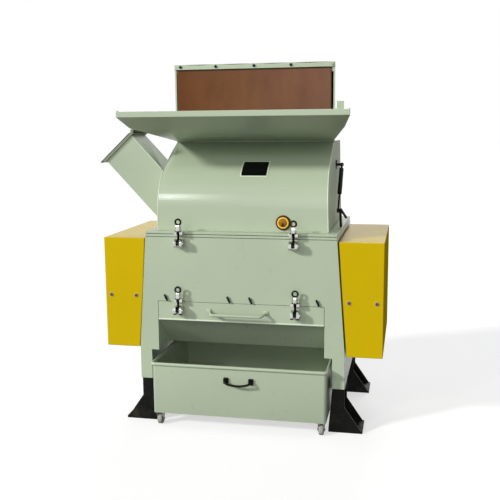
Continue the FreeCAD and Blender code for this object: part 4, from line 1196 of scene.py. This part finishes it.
# Weld beads: half length, y and z of the two long ones, and the short ones beside the clamps
WELD_TRAY_ROOT = (0.398, -0.0125, 1.3545)
WELD_COVER_FOOT = (0.408, -0.3325, 0.9445)
WELD_CLAMP_OUT = 0.0225
WELD_CLAMP_HALF = 0.017


def make_welds():
    for name, (half, y, z), radius in (("weld_tray_root", WELD_TRAY_ROOT, 0.0035),
                                       ("weld_cover_foot", WELD_COVER_FOOT, 0.0028)):
        weld(name, (-half, y, z), (half, y, z), radius)
    for name in CLAMP_NAMES:
        low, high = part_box(name + "_swing_bolt")
        z = low.z + EYE_R
        for side, sign in SIDES:
            x = (low.x + high.x) / 2 + sign * WELD_CLAMP_OUT
            weld(f"weld_{name}_{side}", (x, FRONT_Y - 0.001, z - WELD_CLAMP_HALF),
                 (x, FRONT_Y - 0.001, z + WELD_CLAMP_HALF), 0.0022)


make_welds()


# Floor, world, lights and camera
def seen_directly(nodes, link):
    """1 where the camera, a reflection or glass sees a surface, 0 for the light it gives."""
    rays = nodes.new("ShaderNodeLightPath")
    total = rays.outputs["Is Camera Ray"]
    for name in ("Is Glossy Ray", "Is Transmission Ray"):
        most = nodes.new("ShaderNodeMath")
        most.operation = "MAXIMUM"
        link(total, most.inputs[0])
        link(rays.outputs[name], most.inputs[1])
        total = most.outputs[0]
    return total


def make_floor():
    m = Nodes("floor")
    seen = seen_directly(m.tree.nodes, m.link)
    m.colour(m.mix(seen, grey(FLOOR_GIVEN), grey(FLOOR_SEEN)))
    m.set(Roughness=0.9, Specular_IOR_Level=0.0)
    glow = m.add("ShaderNodeEmission")
    glow.inputs["Strength"].default_value = FLOOR_GLOW
    both = m.add("ShaderNodeAddShader")
    m.link(m.shader.outputs[0], both.inputs[0])
    m.link(glow.outputs[0], both.inputs[1])
    choice = m.add("ShaderNodeMixShader")
    m.link(seen, choice.inputs["Fac"])
    m.link(m.shader.outputs[0], choice.inputs[1])
    m.link(both.outputs[0], choice.inputs[2])
    m.link(choice.outputs[0], m.output.inputs["Surface"])
    bm = bmesh.new()
    bmesh.ops.create_grid(bm, x_segments=1, y_segments=1, size=FLOOR_SIZE)
    mesh = bpy.data.meshes.new("floor")
    bm.to_mesh(mesh)
    bm.free()
    mesh.materials.append(m.material)
    obj = bpy.data.objects.new("floor", mesh)
    bpy.context.collection.objects.link(obj)


def make_world():
    world = bpy.data.worlds.new("studio")
    bpy.context.scene.world = world
    world.use_nodes = True
    tree = world.node_tree
    tree.nodes.clear()
    out = tree.nodes.new("ShaderNodeOutputWorld")
    mix = tree.nodes.new("ShaderNodeMixShader")
    for k, (level, colour) in enumerate(((SKY_LEVEL, SKY_COLOUR), (1.0, grey(1.0)))):
        sky = tree.nodes.new("ShaderNodeBackground")
        sky.inputs["Color"].default_value = colour
        sky.inputs["Strength"].default_value = level
        tree.links.new(sky.outputs[0], mix.inputs[k + 1])
    tree.links.new(seen_directly(tree.nodes, tree.links.new), mix.inputs["Fac"])
    tree.links.new(mix.outputs[0], out.inputs["Surface"])


def lamp(name, kind, at, target, power, colour=(1, 1, 1)):
    data = bpy.data.lights.new(name, kind)
    data.energy = power
    data.color = colour
    obj = bpy.data.objects.new(name, data)
    bpy.context.collection.objects.link(obj)
    obj.location = at
    obj.rotation_euler = (Vector(target) - Vector(at)).to_track_quat("-Z", "Y").to_euler()
    return data


def make_lights():
    sun = lamp("sun", "SUN", SUN_FROM * 3, (0, 0, 0), SUN_POWER, (1.0, 0.99, 0.96))
    sun.angle = SUN_SPREAD
    fill = lamp("fill", "SUN", FILL_FROM * 3, (0, 0, 0), FILL_POWER)
    fill.angle = FILL_SPREAD
    back = lamp("back_sun", "SUN", BACK_SUN_FROM * 3, (0, 0, 0), BACK_SUN_POWER)
    back.angle = BACK_SUN_SPREAD
    glare = lamp("glare", "AREA", GLARE_AT, GLARE_TO, GLARE_POWER)
    glare.shape = "RECTANGLE"
    glare.size, glare.size_y = GLARE_SIZE


def make_camera():
    ahead = Vector((-math.sin(CAMERA_YAW) * math.cos(CAMERA_PITCH),
                    math.cos(CAMERA_YAW) * math.cos(CAMERA_PITCH), -math.sin(CAMERA_PITCH)))
    right = Vector((math.cos(CAMERA_YAW), math.sin(CAMERA_YAW), 0))
    up = right.cross(ahead)
    turn_c, turn_s = math.cos(CAMERA_ROLL), math.sin(CAMERA_ROLL)
    right, up = right * turn_c + up * turn_s, up * turn_c - right * turn_s
    data = bpy.data.cameras.new("camera")
    data.lens = CAMERA_LENS_MM
    data.sensor_width = 36.0
    obj = bpy.data.objects.new("camera", data)
    bpy.context.collection.objects.link(obj)
    turn = Matrix((right, up, -ahead)).transposed().to_4x4()
    obj.matrix_world = Matrix.Translation(CAMERA_AT) @ turn
    bpy.context.scene.camera = obj


make_floor()
make_world()
make_lights()
make_camera()
bpy.context.scene.view_settings.view_transform = "Standard"
